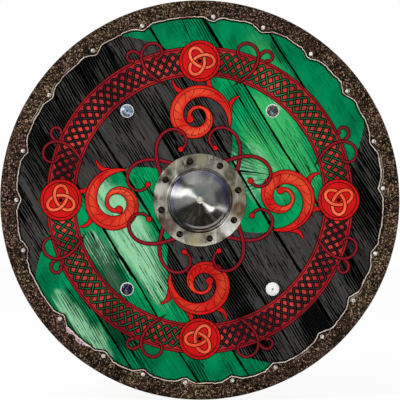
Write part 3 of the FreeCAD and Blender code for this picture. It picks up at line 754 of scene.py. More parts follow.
@dataclass(frozen=True)
class LeatherFinish(Finish):
    """Waxed leather of the straps, darker along its edges."""

    name: str
    base: Paint
    dark: Paint
    scale: float = 420.0

    def looks(self, g: Graph) -> dict[str, Fed]:
        """What the shader's sockets are fed.

        Args:
            g: The material's tree.

        Returns:
            The values, by socket name.
        """
        place = g.place()
        crease, _, _, height = g.use(CRACKLE, Place=place, Scale=self.scale)
        tone = g.steps(g.noise(place, 26.0, 3.0), 0.32, 0.7)
        colour: Fed = self.base
        for share in (tone * 0.55, crease * 0.5, g.attribute("rub") * 0.85):
            colour = g.mix(share, colour, self.dark)
        return {
            "Base Color": colour,
            "Roughness": g.steps(tone, 0.0, 1.0, 0.42, 0.6),
            "Normal": g.bump(height, 0.5, 0.25 * MM),
        }


@dataclass(frozen=True)
class BareWoodFinish(Finish):
    """Oiled oak of the battens, with the grain running along them."""

    name: str

    def looks(self, g: Graph) -> dict[str, Fed]:
        """What the shader's sockets are fed.

        Args:
            g: The material's tree.

        Returns:
            The values, by socket name.
        """
        x, y, z = g.parts(g.place())
        rings = z + y * 0.7
        strokes, cracks, height = g.use(GRAIN, Across=rings, Along=x, Seed=9.0, Density=0.02, Widest=0.2)
        bands = g.noise(g.combine(rings * 130.0, x * 5.0, 3.0), 1.0, 3.0)
        colour = g.mix(g.steps(bands, 0.35, 0.68), Paint.OAK, Paint.OAK_GRAIN)
        colour = g.mix(strokes * 0.5, colour, Paint.OAK_GRAIN)
        return {
            "Base Color": g.mix(cracks * 0.8, colour, Paint.BRIDLE_DARK),
            "Roughness": g.steps(bands, 0.2, 0.8, 0.5, 0.68),
            "Normal": g.bump(height, 0.5, 0.3 * MM),
        }


@dataclass(frozen=True)
class Stain:
    """A patch of another colour on the boss's flange: place and radius in millimetres, and its tint."""

    x: float
    z: float
    radius: float
    tint: tuple[int, int, int]


@dataclass(frozen=True)
class BossFinish(Finish):
    """Polished steel, streaky on the flange; the dome carries painted reflections: bluish round its foot,
    teal above its point, and painted pale highlights at its point and low on its foot.
    """

    name: str
    stains: Sequence[Stain] = (
        Stain(60, -14, 17, (122, 92, 66)),
        Stain(-46, -38, 17, (134, 108, 98)),
        Stain(2, 62, 13, (190, 186, 152)),
        Stain(-8, -61, 13, (186, 176, 138)),
        Stain(42, -43, 16, (255, 255, 250)),
        Stain(-58, 16, 15, (236, 232, 218)),
        Stain(46, 38, 14, (120, 112, 92)),
    )

    def looks(self, g: Graph) -> dict[str, Fed]:
        """What the shader's sockets are fed.

        Args:
            g: The material's tree.

        Returns:
            The values, by socket name.
        """
        place = g.place()
        x, _, z = g.parts(place)
        flat = g.combine(x, 0.0, z)
        radius = g.math("SQRT", x * x + z * z)
        turn = g.math("ARCTAN2", z, x)
        tarnish, scratch, relief = g.use(SMUDGE, Place=place, Scale=40.0)
        flange = g.steps(radius, 49 * MM, 51 * MM)
        brushed = g.noise(g.vector("MULTIPLY", place, (150.0, 1.0, 42.0)), 1.0, 3.0, 0.6)
        clouds = g.steps(g.noise(place, 34.0, 3.0, 0.55), 0.34, 0.64)
        warm = g.mix(clouds, linear(220, 216, 198), linear(92, 76, 56))
        warm = g.mix(g.steps(g.noise(place, 21.0, 1.0), 0.54, 0.64, 0.0, 0.6), warm, linear(176, 168, 134))
        warm = g.mix(g.steps(brushed, 0.54, 0.68, 0.0, 0.6), warm, linear(255, 252, 240))
        uneven = g.steps(brushed, 0.35, 0.55, 0.55, 1.0)
        for stain in self.stains:
            centre = (stain.x * MM, 0.0, stain.z * MM)
            mask = g.use(SPOT, Place=flat, Centre=centre, Radius=stain.radius * MM)[0]
            warm = g.mix(mask * uneven, warm, linear(*stain.tint))
        cool = g.mix(tarnish * 0.45, linear(192, 193, 188), linear(122, 122, 114))
        # Painted reflection: a bluish tint round the dome's lower cone and wall.
        painted_blue_reflection = g.steps(g.noise(place, 26.0, 1.0), 0.36, 0.58, 0.12, 0.75)
        painted_blue_reflection = g.steps(radius, 34 * MM, 42 * MM) * painted_blue_reflection
        cool = g.mix(painted_blue_reflection, cool, linear(98, 94, 150))
        # Painted reflection: a teal patch above the point.
        painted_teal_reflection = g.use(SPOT, Place=flat, Centre=(2 * MM, 0.0, 13 * MM), Radius=12 * MM)[0]
        cool = g.mix(painted_teal_reflection * 0.45, cool, linear(112, 146, 142))
        # Painted highlight: pale at the point, and less metallic so that it shows.
        painted_tip_highlight = g.steps(g.noise(place, 170.0) * (10 * MM) + radius, 11.2 * MM, 6.6 * MM, 0.0, 0.85)
        cool = g.mix(painted_tip_highlight, cool, linear(246, 240, 212))
        # Painted highlight: a pale arc at 41.8 mm radius on the dome's lower side, also less metallic.
        downward = g.vector("DOT_PRODUCT", g.vector("NORMALIZE", flat), (0.26, 0.0, -0.97))
        arc = g.steps(abs(radius - 41.8 * MM), 2.4 * MM, 0.8 * MM) * g.steps(downward, 0.55, 0.92, 0.0, 0.8)
        cool = g.mix(arc, cool, linear(212, 210, 204))
        colour = g.mix(flange, cool, warm)
        rings = g.noise(g.combine(turn * 1.6, radius * 900.0, 0.0))
        streaks = g.noise(g.combine(turn * 14.0, radius * 40.0, 4.0))
        dents = g.noise(place, 34.0, 1.0) * (flange * 3.4 + 1.4)
        return {
            "Base Color": g.mix(scratch * 0.2, colour, linear(225, 224, 220)),
            # Less metallic under the painted highlights.
            "Metallic": g.most(painted_tip_highlight, arc) * -0.6 + 1.0,
            "Roughness": flange * 0.13 + 0.17,
            "Normal": g.bump(rings * 0.2 + (streaks * 0.8 + relief) + dents, 1.0, 0.06 * MM),
        }


@dataclass(frozen=True)
class BoltHeadFinish(Finish):
    """A plated bolt head with faint facets, whose colours are painted reflections: a tinted face with painted
    glints, a painted pale reflection round its rim and a painted dark spot in the middle.
    """

    name: str
    centre: Pair
    face: Fed
    rim: Fed
    metallic: float
    glints: float
    rim_start: float = 9.9 * MM

    def looks(self, g: Graph) -> dict[str, Fed]:
        """What the shader's sockets are fed.

        Args:
            g: The material's tree.

        Returns:
            The values, by socket name.
        """
        place = g.place()
        away = g.vector("SUBTRACT", place, (self.centre[0], 0.0, self.centre[1]))
        flat = g.vector("MULTIPLY", away, (1.0, 0.0, 1.0))
        radius = g.vector("LENGTH", flat)
        tarnish, _, height = g.use(SMUDGE, Place=place, Scale=120.0)
        # Painted reflection: a pale rim, which is also less metallic.
        rim = g.steps(g.noise(flat, 260.0) * (2.6 * MM) + radius, self.rim_start, self.rim_start + 0.7 * MM)
        # Painted glints, in faint cells that look like facets.
        glint_cell = g.parts(g.cells(g.vector("MULTIPLY", flat, (1.0, 0.0, 0.45)), 420.0)[1])[0]
        colour = g.mix(g.steps(glint_cell, 0.45, 0.85) * self.glints, self.face, self.rim)
        colour = g.mix(rim, colour, self.rim)
        # Painted reflection: a dark spot in the middle of the head.
        painted_dark_centre = g.steps(radius, 2.2 * MM, 1.4 * MM)
        return {
            "Base Color": g.mix(painted_dark_centre * 0.75, colour, Paint.BOLT_CENTRE_DARK_REFLECTION),
            "Metallic": (1.0 - rim) * self.metallic,
            "Roughness": g.steps(tarnish, 0.0, 1.0, 0.08, 0.22),
            "Normal": g.bump(height, 0.5, 0.15 * MM),
        }


def clamped(value: float) -> float:
    """A number kept between 0 and 1."""
    return min(1.0, max(0.0, value))


def between(ends: Sequence[float], share: float) -> float:
    """The number at a share of the way between two."""
    return ends[0] + (ends[1] - ends[0]) * share


def bell(away: float, reach: float, power: int = 2) -> float:
    """A soft hump: 1 at no distance, and almost 0 from twice its reach."""
    return math.exp(-((away / reach) ** power))


def turns(count: int) -> list[float]:
    """Angles set evenly round a full turn."""
    return [math.tau * k / count for k in range(count)]


def round_points(x: float, y: float, z: float, radius: float, count: int) -> list[Vector]:
    """Points set evenly round an axis that runs from front to back."""
    return [Vector((x + radius * math.cos(a), y, z + radius * math.sin(a))) for a in turns(count)]


def circle_points(centre: Vector, axis: Vector, radius: float, count: int = 28) -> list[Vector]:
    """Points set evenly round any axis.

    Args:
        centre: The circle's centre.
        axis: Its axis.
        radius: Its radius.
        count: How many points.

    Returns:
        The points.
    """
    first = axis.orthogonal().normalized() * radius
    second = axis.normalized().cross(first)
    return [centre + first * math.cos(a) + second * math.sin(a) for a in turns(count)]


def rounded_line(corners: Sequence[Vector], radii: Sequence[float], arc_steps: int) -> list[Vector]:
    """Points along a line with an arc of its own radius at each inner corner.

    Args:
        corners: The line's corners.
        radii: The radius at each inner corner.
        arc_steps: How many steps each arc is drawn in.

    Returns:
        The points.
    """
    points = [corners[0]]
    for before, corner, after, radius in zip(corners, corners[1:], corners[2:], radii):
        coming = (corner - before).normalized()
        going = (after - corner).normalized()
        turn = coming.angle(going)
        centre = corner + (going - coming).normalized() * (radius / math.cos(turn / 2))
        spoke = corner - coming * (radius * math.tan(turn / 2)) - centre
        axis = coming.cross(going).normalized()
        for k in range(arc_steps + 1):
            share = turn * k / arc_steps
            points.append(centre + spoke * math.cos(share) + axis.cross(spoke) * math.sin(share))
    return points + [corners[-1]]


@contextmanager
def opened(mesh: Mesh) -> Iterator[bmesh.types.BMesh]:
    """Opens a mesh for editing, and then writes it back.

    Args:
        mesh: The mesh.

    Yields:
        Its editable form.
    """
    working = bmesh.new()
    working.from_mesh(mesh)
    yield working
    working.to_mesh(mesh)
    working.free()


Row = Sequence[int]


@dataclass
class Draft:
    """A mesh while it is drawn: points, faces, a finish number per face, and values that its points carry."""

    points: list[Vector] = field(default_factory=list)
    faces: list[Row] = field(default_factory=list)
    finishes: list[int] = field(default_factory=list)
    values: dict[str, list[float]] = field(default_factory=dict)

    def add_points(self, points: Iterable[Vector], **values: float) -> list[int]:
        """Adds points that carry the same values.

        Args:
            points: The new points.
            values: Carried value by name.

        Returns:
            The points' numbers.
        """
        first = len(self.points)
        self.points.extend(points)
        for name in {**self.values, **values}:
            column = self.values.setdefault(name, [0.0] * first)
            column.extend([values.get(name, 0.0)] * (len(self.points) - first))
        return list(range(first, len(self.points)))

    def add_face(self, corners: Row, finish: int = 0) -> None:
        """Adds one face."""
        self.faces.append(corners)
        self.finishes.append(finish)

    def add_tip(self, ring: Row, tip: Vector, finish: int = 0) -> None:
        """Closes a ring to one point.

        Args:
            ring: The ring's point numbers.
            tip: The point.
            finish: The faces' finish number.
        """
        point = self.add_points([tip])[0]
        for k, corner in enumerate(ring):
            self.add_face((corner, ring[(k + 1) % len(ring)], point), finish)

    def add_grid(
        self, rows: Sequence[Row], finish: int = 0, closed: bool = False, ring: bool = False
    ) -> None:
        """Joins rows of points into a grid of four-sided faces.

        Args:
            rows: Rows of point numbers, all equally long.
            finish: The faces' finish number.
            closed: Whether the last row joins the first.
            ring: Whether each row is a ring.
        """
        pairs = list(zip(rows, rows[1:]))
        if closed:
            pairs.append((rows[-1], rows[0]))
        for row, following in pairs:
            count = len(row)
            for k in range(count if ring else count - 1):
                after = (k + 1) % count
                self.add_face((row[k], row[after], following[after], following[k]), finish)

    def add_tube(self, rings: Sequence[Row]) -> None:
        """Joins rings of points into a tube with a face at each end.

        Args:
            rings: The rings, as point numbers.
        """
        self.add_grid(rings, ring=True)
        self.add_face(rings[0])
        self.add_face(rings[-1][::-1])

    def mesh(self, name: str) -> Mesh:
        """Makes the Blender mesh.

        Args:
            name: The mesh's name.

        Returns:
            The mesh, with outward normals and its carried values.
        """
        made = bpy.data.meshes.new(name)
        made.from_pydata(self.points, [], self.faces)
        made.polygons.foreach_set("material_index", self.finishes)
        for value, column in self.values.items():
            made.attributes.new(value, "FLOAT", "POINT").data.foreach_set("value", column)
        with opened(made) as working:
            bmesh.ops.recalc_face_normals(working, faces=working.faces)
        made.polygons.foreach_set("use_smooth", [True] * len(made.polygons))
        made.update()
        return made


def add_object(name: str, data: bpy.types.ID) -> bpy.types.Object:
    """Puts a mesh, camera or lamp into the scene.

    Args:
        name: The object's name.
        data: The mesh, camera or lamp.

    Returns:
        The object.
    """
    made = bpy.data.objects.new(name, data)
    bpy.context.scene.collection.objects.link(made)
    return made


def place_piece(
    mesh: Mesh, finishes: Sequence[Finish], body: str = SHIELD_BODY, replaces: Sequence[str] = ()
) -> bpy.types.Object:
    """Puts a mesh into the scene as a piece of the shield.

    Args:
        mesh: The piece's mesh. Its name is the piece's.
        finishes: The finishes that its face numbers mean.
        body: The body that it rides on.
        replaces: Nodes that it stands for.

    Returns:
        The object.
    """
    made = add_object(mesh.name, mesh)
    for finish in finishes:
        mesh.materials.append(bpy.data.materials.get(finish.name) or finish.material())
    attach(made, body)
    if replaces:
        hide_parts(*replaces)
    log.info("%s: %d faces", mesh.name, len(mesh.polygons))
    return made


def dress(finish: Finish, *nodes: str) -> None:
    """Gives nodes of the frame one finish.

    Args:
        finish: The finish.
        nodes: The nodes' names.
    """
    material = finish.material()
    for node in nodes:
        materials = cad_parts[node].data.materials
        materials.clear()
        materials.append(material)
        log.info("%s: dressed in %s", node, material.name)


@dataclass
class Planks:
    """The board's planks."""

    spans: list[Pair] = field(default_factory=list)

    def build(self) -> None:
        """Finds each plank's edges and dresses it."""
        for k in range(PLANK_COUNT):
            name = f"plank_{k + 1}"
            reach = [v.co.dot(ACROSS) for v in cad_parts[name].data.vertices]
            self.spans.append((min(reach), max(reach)))
            low = min(reach) if k > 0 else -SHIELD_RADIUS
            high = max(reach) if k < PLANK_COUNT - 1 else SHIELD_RADIUS
            dress(PlankFinish(f"painted_{name}", low, high, 1.7 * k), name)

    @property
    def seams(self) -> list[float]:
        """Where the seams lie across the board."""
        return [(left[1] + right[0]) / 2 for left, right in zip(self.spans, self.spans[1:])]


@dataclass
class JointGlue:
    """The glue that fills the joints between the planks."""

    spans: Sequence[Pair]
    overlap: float = 0.05 * MM
    from_edge: float = 4 * MM
    sunk_in_front: float = 0.8 * MM
    sunk_behind: float = 1.0 * MM

    def build(self) -> None:
        """Draws a thin dark strip in each joint."""
        draft = Draft()
        front = BOARD_FRONT + SEAM_DEPTH + self.sunk_in_front
        back = BOARD_BACK - self.sunk_behind
        for left, right in zip(self.spans, self.spans[1:]):
            low = left[1] - self.overlap
            high = right[0] + self.overlap
            reach = math.sqrt((SHIELD_RADIUS - self.from_edge) ** 2 - low ** 2)
            corners = ((low, front), (high, front), (high, back), (low, back))
            rows = []
            for along in (-reach, reach):
                points = [ACROSS * across + ALONG * along + BACKWARD * depth for across, depth in corners]
                rows.append(draft.add_points(points))
            draft.add_tube(rows)
        pale, dark = linear(24, 18, 14), linear(14, 11, 9)
        glue = MetalFinish("joint_glue_dark", pale, dark, 0.6, 0.8, 60.0, metallic=0.0)
        place_piece(draft.mesh("joint_glue"), [glue])


@dataclass(frozen=True)
class BrushPoint:
    """One point of a brush stroke on the board: its place, half its width, its lift and its glow."""

    x: float
    z: float
    half_width: float
    lift: float
    glow: float = 0.0

    @property
    def place(self) -> Vector:
        """Its place in the board's middle plane."""
        return Vector((self.x, 0, self.z))


Path = Sequence[BrushPoint]


def polar(angle: float, reach: float, centre: Pair = (0.0, 0.0)) -> Pair:
    """A place on the board at a reach from a centre, in the direction of an angle."""
    return centre[0] + reach * math.cos(angle), centre[1] + reach * math.sin(angle)


def heading_at(path: Path, k: int) -> float:
    """The direction of a stroke from one of its points to the next."""
    return math.atan2(path[k + 1].z - path[k].z, path[k + 1].x - path[k].x)


class Layer(Enum):
    """The paints of the ornament, as finish numbers."""

    OUTLINE = 0
    RED = 1
    CORE = 2
    DEEP = 3
    ORANGE = 4
    CRIMSON = 5


@dataclass
class Ornament:
    """The painted ring of plaitwork, its knotted roundels, and the scrolls and tendrils beside it."""

    seams: Sequence[float]
    ring_radius: float = 212 * MM
    ring_half_width: float = 22 * MM
    plait_reach: float = 14.8 * MM
    plait_strands: int = 4
    plait_turns: int = 25
    outline: float = 1.2 * MM
    base_lift: float = 0.10 * MM
    under: float = 0.05 * MM
    roundel_radius: float = 31 * MM
    scroll_centre: float = 127 * MM
    draft: Draft = field(default_factory=Draft)

    def stroke(self, path: Path, layer: Layer, closed: bool = False) -> None:
        """Lays one brush stroke.

        Args:
            path: The stroke's points.
            layer: Its paint.
            closed: Whether it ends where it starts.
        """
        columns = (-1.0, -0.5, 0.0, 0.5, 1.0) if max(p.glow for p in path) > 0 else (-1.0, 1.0)
        rows = []
        count = len(path)
        for k, p in enumerate(path):
            before = path[(k - 1) % count] if closed else path[max(k - 1, 0)]
            after = path[(k + 1) % count] if closed else path[min(k + 1, count - 1)]
            side = (after.place - before.place).normalized().cross(BACKWARD)
            middle = p.place + BACKWARD * (BOARD_FRONT - self.base_lift - p.lift)
            row = []
            for column in columns:
                glow = p.glow * (1 - column * column)
                row += self.draft.add_points([middle + side * (column * p.half_width)], glow=glow)
            rows.append(row)
        self.draft.add_grid(rows, layer.value, closed)

    def outlined(self, path: Path, layer: Layer, closed: bool = False, outline: float = 0.0) -> None:
        """Lays a stroke with a dark outline under it.

        Args:
            path: The stroke's points.
            layer: Its paint.
            closed: Whether it ends where it starts.
            outline: How far the outline shows, or 0 for the usual.
        """
        wider = outline or self.outline
        dark = [BrushPoint(p.x, p.z, p.half_width + wider, p.lift - self.under) for p in path]
        self.stroke(dark, Layer.OUTLINE, closed)
        self.stroke(path, layer, closed)

    def disc(self, centre: Pair, radius: float, lift: float, layer: Layer) -> None:
        """Lays a round spot."""
        rim = round_points(centre[0], BOARD_FRONT - self.base_lift - lift, centre[1], radius, 48)
        self.draft.add_face(self.draft.add_points(rim), layer.value)

    def circle(
        self, centre: Pair, radius: float, half_width: float, lift: float, layer: Layer, glow: float = 0.0
    ) -> None:
        """Lays a ring, whose radius is that of its middle line."""
        places = [polar(a, radius, centre) for a in turns(max(48, int(radius / MM) * 4))]
        self.stroke([BrushPoint(*place, half_width, lift, glow) for place in places], layer, closed=True)

    def plait(self) -> None:
        """Lays the ring's ground and the strands that cross over and under each other on it."""
        edge = self.ring_half_width
        middle = (0.0, 0.0)
        self.circle(middle, self.ring_radius, edge + self.outline, 0.0, Layer.OUTLINE)
        self.circle(middle, self.ring_radius, edge, 0.05 * MM, Layer.CRIMSON, 1.0)
        for side in (-1, 1):
            radius = self.ring_radius + side * (edge - 2.9 * MM)
            self.circle(middle, radius, 0.55 * MM, 0.10 * MM, Layer.OUTLINE)
        roundness = 0.955
        for strand in range(self.plait_strands):
            path = []
            for turn in turns(self.plait_turns * 36):
                phase = self.plait_turns * turn + math.tau * strand / self.plait_strands
                swing = math.asin(roundness * math.sin(phase)) / math.asin(roundness)
                row = (swing + 1) / 2 * self.plait_strands
                rising = 1 if math.cos(phase) > 0 else -1
                inside = 0.5 < row < self.plait_strands - 0.5
                weave = rising * math.cos(math.pi * row) if inside else 0.0
                place = polar(turn, self.ring_radius + self.plait_reach * swing)
                path.append(BrushPoint(*place, 0.7 * MM, 0.35 * MM + 0.14 * MM * weave))
            self.outlined(path, Layer.CORE, closed=True, outline=1.7 * MM)

    def roundel(self, angle: float) -> None:
        """Lays a round medallion with a three-lobed knot on the ring.

        Args:
            angle: Its place round the ring.
        """
        centre = polar(angle, self.ring_radius)
        self.disc(centre, self.roundel_radius + self.outline, 0.60 * MM, Layer.OUTLINE)
        self.disc(centre, self.roundel_radius, 0.66 * MM, Layer.RED)
        self.circle(centre, self.roundel_radius - 4 * MM, 0.6 * MM, 0.72 * MM, Layer.OUTLINE)
        for turn in turns(24):
            self.disc(polar(turn, self.roundel_radius - 2 * MM, centre), 0.6 * MM, 0.74 * MM, Layer.OUTLINE)
        lobe = 7.4 * MM
        knot = []
        for t in turns(150):
            right = lobe * (math.sin(t) + 2 * math.sin(2 * t))
            up = lobe * (math.cos(t) - 2 * math.cos(2 * t))
            place = polar(angle + math.pi / 2, up, polar(angle, right, centre))
            knot.append(BrushPoint(*place, 2.1 * MM, 0.95 * MM - 0.14 * MM * math.sin(3 * t), 0.8))
        self.outlined(knot, Layer.ORANGE, closed=True)
        self.disc(centre, 3.2 * MM, 0.80 * MM, Layer.OUTLINE)

    def knob(self, end: BrushPoint, radius: float, layer: Layer) -> None:
        """Lays the round spot that ends a tendril."""
        self.disc((end.x, end.z), radius + self.outline, end.lift - 0.03 * MM, Layer.OUTLINE)
        self.disc((end.x, end.z), radius, end.lift + 0.02 * MM, layer)

    def tendril(
        self,
        start: Pair,
        heading: float,
        length: float,
        bend: float,
        half_widths: Pair,
        layer: Layer,
        lift: float,
        ease: float = 1.0,
        point: float = 0.0,
    ) -> list[BrushPoint]:
        """Lays a stroke that bends ever more tightly.

        Args:
            start: Where it starts.
            heading: The direction in which it sets out.
            length: Its length.
            bend: How far it has turned at its end.
            half_widths: Half its width at its widest and at its end.
            layer: Its paint.
            lift: How far it stands off the board.
            ease: How late it bends: 1 is an arc, more than 1 a curl.
            point: The share of its length over which it swells from a point.

        Returns:
            The stroke's points.
        """
        widest, last = half_widths
        count = 56
        place = start
        path = []
        for k in range(count + 1):
            share = k / count
            half = last + (widest - last) * (1 - share) ** 0.7
            if share < point:
                half -= (widest + 0.9 * self.outline) * (1 - share / point)
            path.append(BrushPoint(*place, half, lift, 0.001))
            place = polar(heading + bend * share ** ease, length / count, place)
        dark = [replace(p, half_width=p.half_width + self.outline, lift=p.lift - self.under) for p in path]
        self.stroke(dark, Layer.OUTLINE)
        shown = [p for p in path if p.half_width > -0.5 * MM]
        self.stroke([replace(p, half_width=max(p.half_width, 0.02 * MM)) for p in shown], layer)
        return path

    def scroll_path(self, centre: Pair, start: float) -> list[BrushPoint]:
        """The middle line of a great scroll: a spiral that swells from a point and then narrows.

        Args:
            centre: The spiral's middle.
            start: The angle where it starts.

        Returns:
            The points.
        """
        outer, inner, times_round = 52 * MM, 11 * MM, 1.6
        first, widest, last = 0.4 * MM, 10.5 * MM, 2.6 * MM
        count = 128
        path = []
        for k in range(count + 1):
            share = k / count
            place = polar(start + math.tau * times_round * share, outer * (inner / outer) ** share, centre)
            swell = math.sin(math.pi * min(share / 0.75, 1.0) ** 0.75)
            half = first + (last - first) * share + (widest - (first + last) / 2) * swell
            path.append(BrushPoint(*place, half, 0.55 * MM, math.sin(math.pi * share) ** 0.5))
        return path

    def great_scroll(self, angle: float) -> None:
        """Lays a great scroll with its inner line, its ribs and the flames that leave it.

        Args:
            angle: Its place round the boss.
        """
        centre = polar(angle, self.scroll_centre)
        middle = Vector((centre[0], 0, centre[1]))
        path = self.scroll_path(centre, angle - 1.9)
        for share, length, bend in ((0.05, 30, -1.5), (0.13, 36, -1.7), (0.22, 34, -1.9)):
            k = int(share * len(path))
            begin = path[k].place + (path[k].place - middle).normalized() * path[k].half_width * 0.4
            flame = (4.4 * MM, 0.15 * MM)
            heading = heading_at(path, k) - 0.25
            self.tendril((begin.x, begin.z), heading, length * MM, bend, flame, Layer.RED, 0.48 * MM)
        self.outlined(path, Layer.RED)
        self.knob(path[-1], 5.2 * MM, Layer.RED)
        wide = [p for p in path if p.half_width > 4 * MM]
        inner_line = []
        for p in wide:
            place = p.place + (p.place - middle).normalized() * (0.48 * p.half_width)
            inner_line.append(BrushPoint(place.x, place.z, 0.42 * MM, 0.62 * MM))
        self.stroke(inner_line, Layer.OUTLINE)
        for p, ahead in list(zip(wide, wide[3:]))[3::5]:
            rib = []
            for step in range(7):
                share = step / 6
                place = p.place + (ahead.place - p.place) * share ** 2
                place += (place - middle).normalized() * (p.half_width * (0.48 - 1.30 * share))
                rib.append(BrushPoint(place.x, place.z, (0.45 - 0.25 * share) * MM, 0.63 * MM))
            self.stroke(rib, Layer.OUTLINE)

    def lyre(self, angle: float) -> None:
        """Lays a pair of thin tendrils that cross once and then curl away from each other.

        Args:
            angle: Its place round the boss.
        """
        thin = (2.1 * MM, 1.3 * MM)
        for side in (-1, 1):
            lift = 0.40 * MM + 0.25 * MM * (side + 1)
            start = polar(angle + math.pi / 2, side * 13 * MM, polar(angle, 68 * MM))
            heading, bend = angle - side * 0.50, -side * 4.7
            path = self.tendril(start, heading, 132 * MM, bend, thin, Layer.DEEP, lift, 2.1)
            self.knob(path[-1], 3.6 * MM, Layer.RED)

    def outer_curl(self, angle: float, side: int) -> None:
        """Lays a thin tendril that crosses the ring and curls outside it, with a smaller one beside it.

        Args:
            angle: Where it starts, inside the ring.
            side: Which way it leans, 1 or -1.
        """
        start = polar(angle, 181 * MM)
        thin = (1.8 * MM, 1.2 * MM)
        heading, bend = angle + side * 0.75, -side * 5.6
        path = self.tendril(start, heading, 128 * MM, bend, thin, Layer.DEEP, 0.85 * MM, 2.3, 0.16)
        self.knob(path[-1], 3.0 * MM, Layer.DEEP)
        fork = path[26]
        heading = heading_at(path, 26) + side * 0.3
        curl = self.tendril((fork.x, fork.z), heading, 44 * MM, side * 4.6, thin, Layer.DEEP, 0.80 * MM, 1.5)
        self.knob(curl[-1], 2.4 * MM, Layer.DEEP)

    def settle(self, working: bmesh.types.BMesh) -> None:
        """Lets the paint follow the grooves between the planks, and turns it to the front.

        Args:
            working: The ornament's mesh.
        """
        for seam in self.seams:
            for offset in (-SEAM_HALF_WIDTH, -0.2 * MM, 0.2 * MM, SEAM_HALF_WIDTH):
                every = working.verts[:] + working.edges[:] + working.faces[:]
                cut = ACROSS * (seam + offset)
                bmesh.ops.bisect_plane(working, geom=every, plane_co=cut, plane_no=ACROSS)
        for vert in working.verts:
            away = min(abs(vert.co.dot(ACROSS) - seam) for seam in self.seams)
            vert.co.y += max(0.0, SEAM_HALF_WIDTH - away) / SEAM_HALF_WIDTH * SEAM_DEPTH
        bmesh.ops.triangulate(working, faces=[face for face in working.faces if len(face.verts) > 4])
        for face in working.faces:
            if face.normal.y > 0:
                face.normal_flip()

    def build(self) -> None:
        """Draws the whole ornament as one thin skin of paint."""
        self.plait()
        for quarter in turns(4):
            self.great_scroll(quarter + math.radians(2))
            self.lyre(quarter + math.radians(47))
            for side in (-1, 1):
                self.outer_curl(quarter + side * math.radians(16), side)
        for quarter in turns(4):
            self.roundel(quarter)
        mesh = self.draft.mesh("ornament_paint")
        with opened(mesh) as working:
            self.settle(working)
        finishes = [
            OrnamentFinish("ornament_outline", Paint.OUTLINE, Paint.OUTLINE, 0.2),
            OrnamentFinish("ornament_red", Paint.RED, Paint.ORANGE),
            OrnamentFinish("ornament_core", Paint.OUTLINE, Paint.OUTLINE, 0.5, 0.6),
            OrnamentFinish("ornament_deep_red", Paint.DEEP_RED, Paint.DEEP_RED),
            OrnamentFinish("ornament_orange", Paint.ORANGE, Paint.PALE_ORANGE),
            OrnamentFinish("ornament_crimson", Paint.CRIMSON, Paint.LOZENGE, 0.45),
        ]
        place_piece(mesh, finishes)


